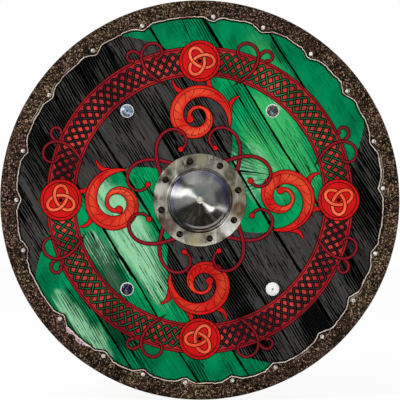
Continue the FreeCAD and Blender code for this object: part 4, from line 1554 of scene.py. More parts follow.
@dataclass
class RimHide:
    """The strip of hide folded over the board's edge, torn and scalloped along its inner edge."""

    rivet_angles: Sequence[float] = (
        3.6, 18.6, 36.4, 52.7, 69.8, 85.8, 108.3, 125.6, 145.2, 164.5, 180.0,
        195.9, 220.4, 238.3, 251.9, 265.4, 280.2, 294.3, 311.8, 326.8, 343.0,
    )
    edge_radius: float = 278.5 * MM
    rivet_radius: float = 280 * MM
    tip_radius: float = 7.5 * MM
    scallop_half: float = 15.5 * MM
    bow: float = 1.0 * MM
    front: float = -14.5 * MM
    back: float = 2.5 * MM
    round_radius: float = 4 * MM
    steps_round: int = 1560

    def gaps(self, angle: float) -> list[float]:
        """How far an angle lies past each rivet, in degrees from -180 to 180."""
        return [((angle - rivet + 180) % 360) - 180 for rivet in self.rivet_angles]

    def inner_radius(self, angle: float) -> float:
        """The radius of the hide's inner edge without its tears.

        Args:
            angle: Place round the shield, in degrees.

        Returns:
            The radius.
        """
        gaps = self.gaps(angle)
        arc = abs(math.radians(min(gaps, key=abs))) * self.edge_radius
        flank_x = 0.40 * self.tip_radius
        if arc < flank_x:
            return self.rivet_radius - math.sqrt(self.tip_radius ** 2 - arc ** 2)
        if arc < self.scallop_half:
            share = (arc - flank_x) / (self.scallop_half - flank_x)
            eased = share + 0.06 * math.sin(math.pi * share)
            low = self.rivet_radius - math.sqrt(self.tip_radius ** 2 - flank_x ** 2)
            return between((low, self.edge_radius), eased)
        behind = min(gap % 360 for gap in gaps)
        ahead = min(-gap % 360 for gap in gaps)
        return self.edge_radius + self.bow * math.sin(math.pi * behind / (behind + ahead))

    def tear(self, angle: float) -> float:
        """How far the torn edge strays from its cut.

        Args:
            angle: Place round the shield, in degrees.

        Returns:
            The distance.
        """
        spot = Vector((*polar(math.radians(angle), 1), 0))
        slow = noise.noise(spot * 14)
        quick = noise.noise(spot * 52 + Vector((9, 0, 0)))
        tiny = noise.noise(spot * 150 + Vector((0, 7, 0)))
        return (1.7 * slow + 0.8 * quick + 0.3 * tiny) * MM

    def torn_width(self, angle: float) -> float:
        """How much wider the pale raw edge is than elsewhere.

        Args:
            angle: Place round the shield, in degrees.

        Returns:
            The width.
        """
        spot = Vector((*polar(math.radians(angle), 1), 3))
        ragged = max(0.0, noise.noise(spot * 24)) * 0.8 * MM
        patches = ((225.2, 1.5), (229.8, 2.3))
        patch = sum(bell(angle - middle, half, 4) for middle, half in patches)
        return ragged + patch * 5.5 * MM * (0.9 + 0.5 * noise.noise(spot * 90))

    def section(self, inner: float, back_inner: float) -> list[tuple[float, float, float]]:
        """The hide's section, from its front inner edge over the board's edge and back again inside.

        Its last three points are hidden in the fold.

        Args:
            inner: Radius of the front inner edge.
            back_inner: Radius of the back inner edge.

        Returns:
            Points as radius, depth and the share by which relief moves them.
        """
        lip = [
            # A thin flap on the board past the inner edge, coloured near black as the hide's painted shadow.
            (inner - 2.5 * MM, BOARD_FRONT - 0.06 * MM, 0.0),
            (inner - 0.3 * MM, BOARD_FRONT - 0.35 * MM, 0.0),
            (inner, BOARD_FRONT - 1.1 * MM, 0.1),
            (inner + 0.5 * MM, self.front + 0.2 * MM, 0.4),
            (inner + 1.2 * MM, self.front - 0.15 * MM, 0.7),
            (inner + 2.2 * MM, self.front - 0.10 * MM, 0.8),
        ]
        flat_end = SHIELD_RADIUS - self.round_radius
        flat = [(between((inner + 3.4 * MM, flat_end), k / 13), self.front, 1.0) for k in range(14)]
        front_round = []
        back_round = []
        for turn in (math.pi / 10 * k for k in range(1, 6)):
            radius = flat_end + self.round_radius * math.sin(turn)
            fall = self.round_radius * (1 - math.cos(turn))
            front_round.append((radius, self.front + fall, 1.0))
            back_round.append((radius, self.back - fall, 1.0))
        side = [(SHIELD_RADIUS, self.front + self.round_radius + 3 * MM * k, 1.0) for k in (1, 2)]
        behind = [(between((flat_end, back_inner), k / 9), self.back, 1.0) for k in range(9)]
        behind.append((back_inner, self.back, 0.3))
        hidden = SHIELD_RADIUS - 2.5 * MM
        inside = [(back_inner, 0.05 * MM, 0.0), (hidden, 0.0, 0.0), (hidden, BOARD_FRONT, 0.0)]
        return lip + flat + front_round + side + back_round[::-1] + behind + inside

    def relief(self, point: Vector, to_rivet: float) -> float:
        """How far the surface rises: pebbled by hammering, dimpled under the rivets.

        Args:
            point: The point.
            to_rivet: How far it lies from the nearest rivet's axis.

        Returns:
            The rise.
        """
        nearest, second = noise.voronoi(point * 190)[0][:2]
        pebble = min(second - nearest, 0.5) * 1.1 - 0.25
        swell = noise.noise(point * 60)
        calm = clamped((to_rivet - 3.6 * MM) / (3 * MM))
        return (0.42 * pebble + 0.30 * swell) * MM * calm - 0.12 * MM * (1 - calm)

    def build(self) -> None:
        """Draws the hide and replaces its plain node."""
        draft = Draft()
        rings = []
        for k in range(self.steps_round):
            angle = 360 * k / self.steps_round
            right, up = polar(math.radians(angle), 1)
            out = Vector((right, 0, up))
            inner = self.inner_radius(angle) + self.tear(angle)
            back_inner = self.inner_radius(angle) + 0.6 * self.tear(angle + 77)
            nearest = math.radians(min(map(abs, self.gaps(angle)))) * self.rivet_radius
            torn = self.torn_width(angle)
            row = []
            section = self.section(inner, back_inner)
            for j, (radius, depth, share) in enumerate(section):
                point = out * radius + BACKWARD * depth
                to_rivet = math.hypot(nearest, radius - self.rivet_radius)
                if share > 0:
                    normal = -BACKWARD if depth < BOARD_FRONT else BACKWARD if depth > 0 else out
                    if radius > SHIELD_RADIUS - self.round_radius + 0.1 * MM:
                        normal = out * 0.2 + normal * 0.1
                    point += normal * (self.relief(point, to_rivet) * share)
                in_front = depth < -0.5 * MM and j < len(section) - 3
                inset = radius - inner if in_front else 20 * MM
                outer = clamped((radius - SHIELD_RADIUS + 7 * MM) / (6 * MM))
                # The share of the painted shade round the rivet heads.
                seat = clamped((4.8 * MM - to_rivet) / (1.4 * MM))
                row += draft.add_points([point], inset=inset, outer=outer, torn=torn, seat=seat)
            rings.append(row)
        draft.add_grid(rings, closed=True, ring=True)
        finish = HideFinish("rim_hide_leather")
        place_piece(draft.mesh("rim_hide_skin"), [finish], replaces=["rim_hide"])


@dataclass
class Boss:
    """The spun steel boss: flange, wall, shoulder and a cone with a blunt point."""

    flange_radius: float = 71 * MM
    sheet: float = 1.8 * MM
    wall_radius: float = 49.5 * MM
    height: float = 47 * MM
    steps_round: int = 192

    def profile(self) -> list[Pair]:
        """The outer surface from the flange's edge to the point, as radius and height above the board.

        Returns:
            The points.
        """
        corners = [
            (self.flange_radius, self.sheet),
            (self.wall_radius, self.sheet),
            (0.93 * self.wall_radius, 0.37 * self.height),
            (0.52 * self.wall_radius, 0.78 * self.height),
            (0.09 * self.wall_radius, self.height),
            (0.0, self.height),
        ]
        radii = [3 * MM, 6 * MM, 34 * MM, 7 * MM]
        return [p.xy[:] for p in rounded_line([Vector((r, h, 0)) for r, h in corners], radii, 10)]

    def rings(self, draft: Draft, line: Iterable[Pair]) -> list[list[int]]:
        """Spins a line of radii and heights round the boss's axis."""
        return [draft.add_points(round_points(0, BOARD_FRONT - h, 0, r, self.steps_round)) for r, h in line]

    def build(self) -> None:
        """Spins the boss and replaces its plain node."""
        outer = self.profile()
        edge = [
            (self.flange_radius - 0.7 * MM, 0.0),
            (self.flange_radius, 0.1 * MM),
            (self.flange_radius, self.sheet - 0.6 * MM),
            (self.flange_radius - 0.25 * MM, self.sheet - 0.12 * MM),
            (self.flange_radius - 0.8 * MM, self.sheet),
        ]
        inner = [(r - self.sheet * 0.9, max(h - self.sheet, 0.0)) for r, h in outer[3:-1]]
        draft = Draft()
        shell = self.rings(draft, edge + outer[1:-1])
        draft.add_grid(shell, ring=True)
        draft.add_tip(shell[-1], Vector((0, BOARD_FRONT - self.height, 0)))
        hollow = self.rings(draft, [(r, h) for r, h in inner if r > 0.5 * MM])
        draft.add_grid([shell[0]] + hollow, ring=True)
        draft.add_face(hollow[-1])
        finish = BossFinish("boss_polished_steel")
        place_piece(draft.mesh("boss_spun"), [finish], replaces=["boss"])


@dataclass
class CoachBolts:
    """The domed coach bolts in front, with their threads showing behind the nuts."""

    spread_x: float = 111 * MM
    spread_z: float = 136 * MM
    head_radius: float = 10.3 * MM
    head_height: float = 4.9 * MM
    head_corners: int = 64
    head_steps: int = 18
    shank_radius: float = 4.0 * MM
    shank_corners: int = 32
    core_radius: float = 2.6 * MM
    length: float = 40 * MM
    pitch: float = 1.25 * MM
    thread_depth: float = 0.6 * MM
    thread_start: float = 9 * MM
    chamfer: float = 0.8 * MM
    sharp_turn: float = math.radians(40)

    def head(self, draft: Draft, centre: Pair, finish: int) -> None:
        """Adds one domed head.

        Args:
            draft: The mesh to add to.
            centre: Where the bolt's axis crosses the board.
            finish: Its finish number.
        """
        x, z = centre
        ball = (self.head_radius ** 2 + self.head_height ** 2) / (2 * self.head_height)
        widest = math.asin(self.head_radius / ball)
        rows = []
        for k in range(1, self.head_steps + 1):
            lean = widest * k / self.head_steps
            rows.append((ball * math.sin(lean), self.head_height - ball * (1 - math.cos(lean))))
        rows += [(self.head_radius, 0.0), (self.shank_radius, 0.0)]
        rings = [draft.add_points(round_points(x, BOARD_FRONT - h, z, r, self.head_corners)) for r, h in rows]
        draft.add_grid(rings, finish, ring=True)
        draft.add_tip(rings[0], Vector((x, BOARD_FRONT - self.head_height, z)), finish)

    def shank(self, draft: Draft, centre: Pair) -> None:
        """Adds one shank with its thread and chamfered tip.

        Args:
            draft: The mesh to add to.
            centre: Where the bolt's axis crosses the board.
        """
        tip = BOARD_FRONT + self.length
        steps = int((tip - self.thread_start) / (self.pitch / 6))
        stations = [BOARD_FRONT, self.thread_start - 0.3 * MM]
        stations += [between((self.thread_start, tip), k / steps) for k in range(steps + 1)]
        rings = []
        for y in stations:
            ring = []
            for turn in turns(self.shank_corners):
                phase = (y / self.pitch - turn / math.tau) % 1.0
                groove = abs(phase * 2 - 1) * self.thread_depth if y >= self.thread_start else 0.0
                cut = max(0.0, y - (tip - self.chamfer))
                right, up = polar(turn, max(self.shank_radius - groove - cut, self.core_radius), centre)
                ring.append(Vector((right, y, up)))
            rings.append(draft.add_points(ring))
        draft.add_grid(rings, ring=True)
        draft.add_face(rings[0][::-1])
        draft.add_face(rings[-1])

    def build(self) -> None:
        """Draws the four bolts and replaces their plain node."""
        draft = Draft()
        left, right, low, high = -self.spread_x, self.spread_x, -self.spread_z, self.spread_z
        bright, dull = linear(222, 224, 230), linear(170, 172, 180)
        finishes: list[Finish] = [MetalFinish("bolt_chrome_bright", bright, dull, 0.05, 0.13, 70.0)]
        white, pale = linear(250, 250, 250), linear(236, 234, 228)
        # The four bolt heads carry different painted reflections: a bluish face, a dark one, a navy one and a
        # white one, each with a pale rim.
        for look in (
            BoltHeadFinish("bolt_head_painted_blue_reflection", (left, high), linear(150, 170, 204), pale, 0.80, 0.7),
            BoltHeadFinish("bolt_head_painted_dark_reflection", (right, high), linear(74, 70, 76), pale, 0.50, 0.35),
            BoltHeadFinish("bolt_head_painted_navy_reflection", (left, low), linear(24, 20, 66), pale, 0.75, 0.38),
            BoltHeadFinish("bolt_head_painted_white_reflection", (right, low), white, white, 0.0, 0.0),
        ):
            self.head(draft, look.centre, len(finishes))
            self.shank(draft, look.centre)
            finishes.append(look)
        made = place_piece(draft.mesh("coach_bolts"), finishes, replaces=["strap_bolts"])
        with opened(made.data) as working:
            for edge in working.edges:
                if len(edge.link_faces) == 2 and edge.calc_face_angle(0.0) > self.sharp_turn:
                    edge.smooth = False


@dataclass
class Metalwork:
    """The rivets, washers, nuts, screws and buckle, in their metals."""

    def build(self) -> None:
        """Dresses each node."""
        iron = MetalFinish("blackened_iron", linear(78, 70, 60), linear(16, 15, 14), 0.22, 0.4, 240.0)
        # The rim rivets get a matte cream coat with no metal: a painted highlight, browner in cloudy patches.
        cream, brown = linear(255, 250, 240), linear(120, 96, 80)
        worn = MetalFinish("rim_rivet_painted_highlight", cream, brown, 0.3, 0.5, 330.0, metallic=0.0)
        zinc = MetalFinish("zinc_plate", linear(206, 208, 210), linear(150, 152, 154), 0.3, 0.45, 120.0)
        nickel = MetalFinish("buckle_nickel", linear(200, 196, 188), linear(122, 114, 102), 0.22, 0.42, 150.0)
        dress(iron, "boss_rivets", "boss_roves")
        dress(worn, "rim_rivets")
        dress(zinc, "strap_washers", "strap_nuts", "batten_screws")
        dress(nickel, "buckle_frame", "buckle_roller", "buckle_tongue")


@dataclass
class Battens:
    """The two battens behind the board."""

    def build(self) -> None:
        """Dresses both battens."""
        dress(BareWoodFinish("batten_oak"), "batten_upper", "batten_lower")


@dataclass(frozen=True)
class Station:
    """A place on a strap's line, the way the strap faces there, and how far it is from each end."""

    place: Vector
    outward: Vector
    from_start: float
    to_end: float


def stations_along(line: Sequence[Vector], facing: Vector, end_reach: float) -> list[Station]:
    """Sets places along a line, closer together near its ends.

    Args:
        line: The line's points.
        facing: The axis about which the line's heading is turned to find the way the strap faces.
        end_reach: How far from an end the places stay close.

    Returns:
        The places.
    """
    lengths = [0.0]
    for here, following in zip(line, line[1:]):
        lengths.append(lengths[-1] + (following - here).length)
    total = lengths[-1]
    finest, fine, coarse = 0.22 * MM, 0.8 * MM, 1.8 * MM
    runs = [0.0]
    while runs[-1] < total - 0.15 * MM:
        to_end = min(runs[-1], total - runs[-1])
        step = finest if to_end < 1 * MM else fine if to_end < end_reach else coarse
        runs.append(runs[-1] + step)
    runs[-1] = total
    places = []
    piece = 0
    for run in runs:
        while piece < len(lengths) - 2 and lengths[piece + 1] < run:
            piece += 1
        share = (run - lengths[piece]) / (lengths[piece + 1] - lengths[piece])
        places.append(line[piece].lerp(line[piece + 1], min(share, 1.0)))
    found = []
    for k, (run, place) in enumerate(zip(runs, places)):
        heading = places[min(k + 1, len(places) - 1)] - places[max(k - 1, 0)]
        found.append(Station(place, facing.cross(heading).normalized(), run, total - run))
    return found


@dataclass(frozen=True)
class StrapCut:
    """How a strap is cut: how thick it is, which way it is wide and how far its ends are rounded."""

    thickness: float
    wide: Vector = UP
    end_rounds: Pair = (0.0, 0.0)
    edge_share: float = 0.3
    rub_reach: float = 2.4 * MM
    columns: int = 14

    def half_at(self, station: Station, half: float) -> float:
        """Half the strap's width at a place, with its rounded ends.

        Args:
            station: The place.
            half: Half the width away from the ends.

        Returns:
            Half the width there.
        """
        for away, round_radius in zip((station.from_start, station.to_end), self.end_rounds):
            if away < round_radius:
                half += math.sqrt(round_radius ** 2 - (round_radius - away) ** 2) - round_radius
        return half

    def section(self, half: float, inset: float) -> list[tuple[float, float, float]]:
        """The strap's section: places across it and out from its underside, and how rubbed they are.

        Args:
            half: Half the width here.
            inset: How far the section is drawn in on all sides.

        Returns:
            The points, round the section.
        """
        edge = self.edge_share * self.thickness - 0.5 * inset
        reach = half - inset
        low, high = inset, self.thickness - inset
        flat = [between((edge - reach, reach - edge), k / self.columns) for k in range(self.columns + 1)]
        bends = [(high - edge, turn) for turn in (60, 30, 0)] + [(low + edge, turn) for turn in (0, -30, -60)]
        right = [polar(math.radians(turn), edge, (reach - edge, middle)) for middle, turn in bends]
        left = [(-across, out) for across, out in reversed(right)]
        top = [(across, high) for across in flat]
        bottom = [(across, low) for across in reversed(flat)]
        start, width = reach - self.rub_reach, 0.6 * self.rub_reach
        return [(x, out, clamped((abs(x) - start) / width)) for x, out in top + right + bottom + left]

    def mesh(
        self, name: str, stations: Sequence[Station], half: Callable[[Vector], float], closed: bool = False
    ) -> Mesh:
        """Draws the strap.

        Args:
            name: The mesh's name.
            stations: The places that its underside follows.
            half: Half the strap's width by place.
            closed: Whether it is a loop.

        Returns:
            The mesh.
        """
        draft = Draft()
        end_round = self.edge_share * self.thickness
        rings = []
        for station in stations:
            away = end_round if closed else min(station.from_start, station.to_end, end_round)
            inset = end_round - math.sqrt(end_round ** 2 - (end_round - away) ** 2)
            width = self.half_at(station, half(station.place))
            ring = []
            for across, out, rub in self.section(width, 0.7 * inset):
                point = station.place + self.wide * across + station.outward * out
                waviness = noise.noise(point * 70) * 0.10 * MM + noise.noise(point * 300) * 0.04 * MM
                point += station.outward * (waviness * (1 if out > self.thickness / 2 else -0.3))
                ring += draft.add_points([point], rub=rub)
            rings.append(ring)
        if closed:
            draft.add_grid(rings, closed=True, ring=True)
        else:
            draft.add_tube(rings)
        return draft.mesh(name)


def prism(outline: Sequence[Vector], reach: Vector) -> Mesh:
    """A closed prism, used to cut slots and holes.

    Args:
        outline: The corners of its base.
        reach: From its base to its top.

    Returns:
        The mesh.
    """
    draft = Draft()
    draft.add_tube([draft.add_points(outline), draft.add_points([corner + reach for corner in outline])])
    return draft.mesh("cutting_prism")


def carve(mesh: Mesh, cutters: Sequence[Mesh]) -> Mesh:
    """Cuts prisms out of a mesh.

    Args:
        mesh: What is cut.
        cutters: What is taken away.

    Returns:
        The cut mesh, with the first one's name.
    """
    name = mesh.name
    whole, *tools = made = [add_object("cutting", data) for data in (mesh, *cutters)]
    for tool in tools:
        cut = whole.modifiers.new("cut", "BOOLEAN")
        cut.operation = "DIFFERENCE"
        cut.solver = "EXACT"
        cut.object = tool
    carved = bpy.data.meshes.new_from_object(whole.evaluated_get(bpy.context.evaluated_depsgraph_get()))
    for piece in made:
        bpy.data.objects.remove(piece)
    for spent in (mesh, *cutters):
        bpy.data.meshes.remove(spent)
    carved.name = name
    return carved


def thread(draft: Draft, path: Sequence[Vector], radius: float) -> None:
    """Draws a round thread with pointed ends.

    Args:
        draft: The mesh to add to.
        path: The thread's middle line.
        radius: Its radius.
    """
    rings = []
    for k, place in enumerate(path):
        heading = path[min(k + 1, len(path) - 1)] - path[max(k - 1, 0)]
        size = radius * (0.55 if k in (0, len(path) - 1) else 1.0)
        side = heading.cross(Vector((0.21, 0.37, 0.9))).normalized() * size
        up = heading.normalized().cross(side)
        rings.append(draft.add_points([place + side * math.cos(a) + up * math.sin(a) for a in turns(8)]))
    draft.add_tube(rings)


def stitch(draft: Draft, start: Vector, end: Vector, outward: Vector, radius: float) -> None:
    """Draws one stitch, which rises out of the leather and sinks back.

    Args:
        draft: The mesh to add to.
        start: Where it comes out of the surface.
        end: Where it goes back in.
        outward: The way the surface faces.
        radius: The thread's radius.
    """
    path = []
    for share in (k / 6 for k in range(7)):
        rise = 0.9 * radius * (1 - (2 * share - 1) ** 4) - 0.6 * radius
        path.append(start.lerp(end, share) + outward * rise)
    thread(draft, path, radius)


@dataclass
class Strap:
    """What both straps share: they lie in one plane, and their ends are bolted to the battens."""

    height: float
    seat: float = 10 * MM
    tab_end: float = 129 * MM
    tab_bend: float = 91 * MM
    bolt_x: float = 111 * MM
    bolt_hole_radius: float = 4.25 * MM
    overrun: float = 1 * MM

    def at(self, x: float, y: float, z: float = 0.0) -> Vector:
        """A point by how far it lies to the right, back, and above the strap's middle plane."""
        return Vector((x, y, self.height + z))

    def bolt_hole(self, x: float) -> Mesh:
        """The cutter of a bolt's hole."""
        below = self.at(x, self.seat - self.overrun)
        return prism(circle_points(below, BACKWARD, self.bolt_hole_radius), BACKWARD * (6 * MM))


@dataclass
class ArmStrap(Strap):
    """The arm strap: a half with the buckle, a half with the holes, and the keeper loop."""

    height: float = -136 * MM
    half_width: float = 20 * MM
    thickness: float = 3 * MM
    arch_half: float = 52 * MM
    buckle_floor: float = 93.6 * MM
    bar_y: float = 91.52 * MM
    pocket: float = 2.08 * MM
    fold_x: float = 15 * MM
    fold_end: float = 34 * MM
    gap: float = 0.3 * MM
    billet_floor: float = 90 * MM
    ramp: Pair = (24.8 * MM, 3.58 * MM)
    tail_top: float = 96.9 * MM
    tail_length: float = 76 * MM
    tail_holes: Pair = (24 * MM, 44 * MM)
    tail_hole_radius: float = 2.2 * MM
    bar_slot: Pair = (-5.18 * MM, 8.18 * MM)
    tongue_slot: Pair = (-2.979 * MM, 12.731 * MM)
    slot_half: float = 2.4 * MM
    keeper_x: Pair = (-31 * MM, -21 * MM)
    keeper_y: Pair = (89.7 * MM, 100.2 * MM)
    keeper_half: float = 20.3 * MM
    keeper_thickness: float = 2 * MM
    keeper_round: float = 0.35 * MM
    stitch_pitch: float = 4.6 * MM
    thread_radius: float = 0.42 * MM

    @property
    def uphill(self) -> Vector:
        """The way the buckle half rises from its foot."""
        return (self.at(-self.arch_half, self.buckle_floor) - self.at(-self.tab_bend, self.seat)).normalized()

    @property
    def off_slope(self) -> Vector:
        """The way that slope faces."""
        return Vector((-self.uphill.y, self.uphill.x, 0))

    @property
    def knee(self) -> Vector:
        """Where the tail bends down over the buckle half's shoulder."""
        beside = self.at(-self.arch_half, self.buckle_floor) + self.off_slope * (self.thickness + self.gap)
        return beside + self.uphill * ((self.tail_top - beside.y) / self.uphill.y)

    def buckle_half(self) -> Mesh:
        """Draws the half whose end is folded round the buckle's bar.

        Returns:
            The mesh.
        """
        under = self.bar_y - self.pocket
        fold_top = self.buckle_floor - self.gap
        corners = [
            self.at(-self.tab_end, self.seat),
            self.at(-self.tab_bend, self.seat),
            self.at(-self.arch_half, self.buckle_floor),
            self.at(self.pocket, self.buckle_floor),
            self.at(self.pocket, under),
            self.at(-self.fold_x / 3, under),
            self.at(-self.fold_x, fold_top),
            self.at(-self.fold_end, fold_top),
        ]
        radii = (9 * MM, 24 * MM, self.pocket, self.pocket, 9 * MM, 9 * MM)
        stations = stations_along(rounded_line(corners, radii, 14), UP, 14 * MM)
        cut = StrapCut(self.thickness, end_rounds=(14 * MM, 2 * MM))
        leather = cut.mesh("arm_strap_buckle_half", stations, lambda place: self.half_width)
        reach = self.pocket + self.thickness + self.overrun
        left, right = self.bar_slot
        corners = ((left, -1), (right, -1), (right, 1), (left, 1))
        base = [self.at(x, self.bar_y - reach, side * self.slot_half) for x, side in corners]
        slot = prism(base, BACKWARD * (2 * reach))
        return carve(leather, [slot, self.bolt_hole(-self.bolt_x)])

    def holed_half(self) -> Mesh:
        """Draws the half whose tail runs through the buckle.

        Returns:
            The mesh.
        """
        corners = [
            self.at(self.tab_end, self.seat),
            self.at(self.tab_bend, self.seat),
            self.at(self.arch_half, self.billet_floor),
            self.at(self.ramp[0], self.billet_floor),
            self.at(self.ramp[1], self.tail_top),
            self.knee,
            self.knee - self.uphill * self.tail_length,
        ]
        radii = (12 * MM, 24 * MM, 8 * MM, 8 * MM, 27.3 * MM)
        stations = stations_along(rounded_line(corners, radii, 14), -UP, 17 * MM)
        cut = StrapCut(self.thickness, end_rounds=(14 * MM, 17 * MM))
        leather = cut.mesh("arm_strap_holed_half", stations, lambda place: self.half_width)
        slot = []
        for x, first in zip(self.tongue_slot, (90, -90)):
            for turn in range(first, first + 181, 15):
                right, up = polar(math.radians(turn), self.slot_half, (x, 0))
                slot.append(self.at(right, self.billet_floor - self.overrun, up))
        cutters = [prism(slot, BACKWARD * (12 * MM)), self.bolt_hole(self.bolt_x)]
        for run in self.tail_holes:
            base = self.knee - self.uphill * run - self.off_slope * self.overrun
            hole = circle_points(base, self.off_slope, self.tail_hole_radius)
            cutters.append(prism(hole, self.off_slope * (5 * MM)))
        return carve(leather, cutters)

    def keeper(self) -> Mesh:
        """Draws the keeper loop.

        Returns:
            The mesh.
        """
        low, high = self.keeper_y
        inside = ((-1, low), (1, low), (1, high), (-1, high))
        corners = [self.at(sum(self.keeper_x) / 2, y, side * self.keeper_half) for side, y in inside]
        start = (corners[0] + corners[1]) / 2
        line = rounded_line([start, *corners[1:], corners[0], start], [self.keeper_round] * 4, 4)
        stations = stations_along(line, Vector((1, 0, 0)), 0.0)[:-1]
        cut = StrapCut(self.keeper_thickness, Vector((1, 0, 0)), rub_reach=1.6 * MM, columns=8)
        half = (self.keeper_x[1] - self.keeper_x[0]) / 2
        return cut.mesh("arm_strap_keeper", stations, lambda place: half, closed=True)

    def stitches(self) -> Mesh:
        """Draws the stitches that hold the fold round the buckle's bar.

        Returns:
            The mesh.
        """
        draft = Draft()
        under = self.buckle_floor - self.gap - self.thickness
        for x in (-self.fold_x - 3 * MM, -self.fold_end + 1.6 * MM):
            for k in range(-3, 4):
                start, end = (self.at(x, under, (k + way * 0.36) * self.stitch_pitch) for way in (-1, 1))
                stitch(draft, start, end, -BACKWARD, self.thread_radius)
        return draft.mesh("arm_strap_stitches")

    def build(self) -> None:
        """Draws the arm strap and replaces its plain nodes."""
        leather = LeatherFinish("bridle_leather", Paint.BRIDLE, Paint.BRIDLE_DARK)
        waxed = MetalFinish("waxed_thread", Paint.THREAD, Paint.THREAD_DARK, 0.6, 0.75, 300.0, metallic=0.0)
        place_piece(self.buckle_half(), [leather], replaces=["arm_strap_chape"])
        place_piece(self.holed_half(), [leather], replaces=["arm_strap_billet"])
        place_piece(self.keeper(), [leather], replaces=["strap_keeper"])
        place_piece(self.stitches(), [waxed])


@dataclass
class HandGrip(Strap):
    """The hand grip: a strap that narrows under a padded sleeve."""

    height: float = 136 * MM
    wide_half: float = 20 * MM
    waist_half: float = 13 * MM
    waist_x: Pair = (52 * MM, 60 * MM)
    thickness: float = 4 * MM
    top_half: float = 66 * MM
    top_floor: float = 52 * MM
    sleeve_half: float = 50 * MM
    sleeve_size: Pair = (18 * MM, 33 * MM)
    sleeve_corner: float = 7 * MM
    sleeve_inside: Pair = (4.3 * MM, 26.3 * MM)
    sleeve_centre: float = 54 * MM
    hem: float = 5 * MM
    lip: float = 1.5 * MM
    plumpness: float = 0.9 * MM
    lacing_spread: float = 3.0 * MM
    lacing_pitch: float = 7.5 * MM
    thread_radius: float = 0.55 * MM

    def half_width(self, place: Vector) -> float:
        """Half the strap's width, narrower under the sleeve."""
        share = clamped((abs(place.x) - self.waist_x[0]) / (self.waist_x[1] - self.waist_x[0]))
        return between((self.waist_half, self.wide_half), share * share * (3 - 2 * share))

    def strap(self) -> Mesh:
        """Draws the strap.

        Returns:
            The mesh.
        """
        half = [(self.tab_end, self.seat), (self.tab_bend, self.seat), (self.top_half, self.top_floor)]
        corners = [self.at(-x, y) for x, y in half] + [self.at(x, y) for x, y in reversed(half)]
        radii = (13 * MM, 18 * MM, 18 * MM, 13 * MM)
        stations = stations_along(rounded_line(corners, radii, 14), UP, 14 * MM)
        cut = StrapCut(self.thickness, end_rounds=(14 * MM, 14 * MM))
        leather = cut.mesh("hand_grip_strap", stations, self.half_width)
        return carve(leather, [self.bolt_hole(-self.bolt_x), self.bolt_hole(self.bolt_x)])

    def rounded_ring(
        self, size: Pair, corner: float, quarter: int = 22
    ) -> list[tuple[float, float, float, float]]:
        """A rounded rectangle: its points and the ways they face.

        Args:
            size: Its depth and height.
            corner: Its corner radius.
            quarter: How many points a corner has.

        Returns:
            Depth, height and the two parts of the normal of each point.
        """
        half_y, half_z = size[0] / 2 - corner, size[1] / 2 - corner
        ring = []
        for k, (side_y, side_z) in enumerate(((1, 1), (-1, 1), (-1, -1), (1, -1))):
            for step in range(quarter):
                turn = math.radians(90 * k + 90 * step / (quarter - 1))
                ring.append((*polar(turn, corner, (side_y * half_y, side_z * half_z)), *polar(turn, 1)))
        return ring

    def sleeve(self) -> Mesh:
        """Draws the padded sleeve, drawn in at its two stitched hems and gathered along its seam.

        Returns:
            The mesh.
        """
        draft = Draft()
        steps = 130
        rings = []
        for k in range(steps + 1):
            x = between((-self.sleeve_half, self.sleeve_half), k / steps)
            to_end = self.sleeve_half - abs(x)
            lip = min(1.0, to_end / self.lip)
            drawn = self.lip * (1 - math.sqrt(max(0.0, 1 - (1 - lip) ** 2)))
            groove = 0.75 * MM * bell(to_end - self.hem, 0.9 * MM)
            sunk = self.plumpness * (1 - math.cos(math.pi / 2 * abs(x) / self.sleeve_half)) + drawn + groove
            ring = []
            for y, z, normal_y, normal_z in self.rounded_ring(self.sleeve_size, self.sleeve_corner):
                to_seam = max(0.0, -normal_z)
                folds = noise.noise(Vector((x * 150, y * 30, z * 30))) * (0.25 + 0.45 * to_seam) * MM
                seam = 0.8 * MM * bell(y, 1.1 * MM) * to_seam
                out = folds - sunk - seam
                point = self.at(x, self.sleeve_centre + y + normal_y * out, z + normal_z * out)
                rub = 0.6 * bell(to_end - self.hem, 1.4 * MM) + (0.7 if seam > 0.3 * MM else 0.0)
                ring += draft.add_points([point], rub=min(rub, 1.0))
            rings.append(ring)
        inside = self.rounded_ring(self.sleeve_inside, 1.2 * MM)
        for x in (self.sleeve_half, -self.sleeve_half):
            ring = [self.at(x, self.sleeve_centre + y, z) for y, z, _, _ in inside]
            rings.append(draft.add_points(ring, rub=0.8))
        draft.add_grid(rings, closed=True, ring=True)
        return draft.mesh("hand_grip_sleeve")

    def lacing(self) -> Mesh:
        """Draws the crossed thread that closes the sleeve's seam.

        Returns:
            The mesh.
        """
        draft = Draft()
        bottom = -self.sleeve_size[1] / 2
        for k in range(-5, 6):
            for side in (-1, 1):
                ends = []
                for way in (-1, 1):
                    y = self.sleeve_centre - way * side * self.lacing_spread
                    ends.append(self.at((k + way / 2) * self.lacing_pitch, y, bottom + 0.1 * MM * side))
                stitch(draft, *ends, -UP, self.thread_radius)
        return draft.mesh("hand_grip_lacing")

    def build(self) -> None:
        """Draws the hand grip and replaces its plain nodes."""
        bridle = LeatherFinish("grip_bridle_leather", Paint.BRIDLE, Paint.BRIDLE_DARK)
        soft = LeatherFinish("grip_sleeve_leather", Paint.SLEEVE, Paint.SLEEVE_DARK, 300.0)
        waxed = MetalFinish("waxed_lacing", Paint.THREAD, Paint.THREAD_DARK, 0.6, 0.75, 300.0, metallic=0.0)
        place_piece(self.strap(), [bridle], replaces=["grip_strap"])
        sleeve = place_piece(self.sleeve(), [soft], replaces=["grip_sleeve"])
        place_piece(self.lacing(), [waxed])


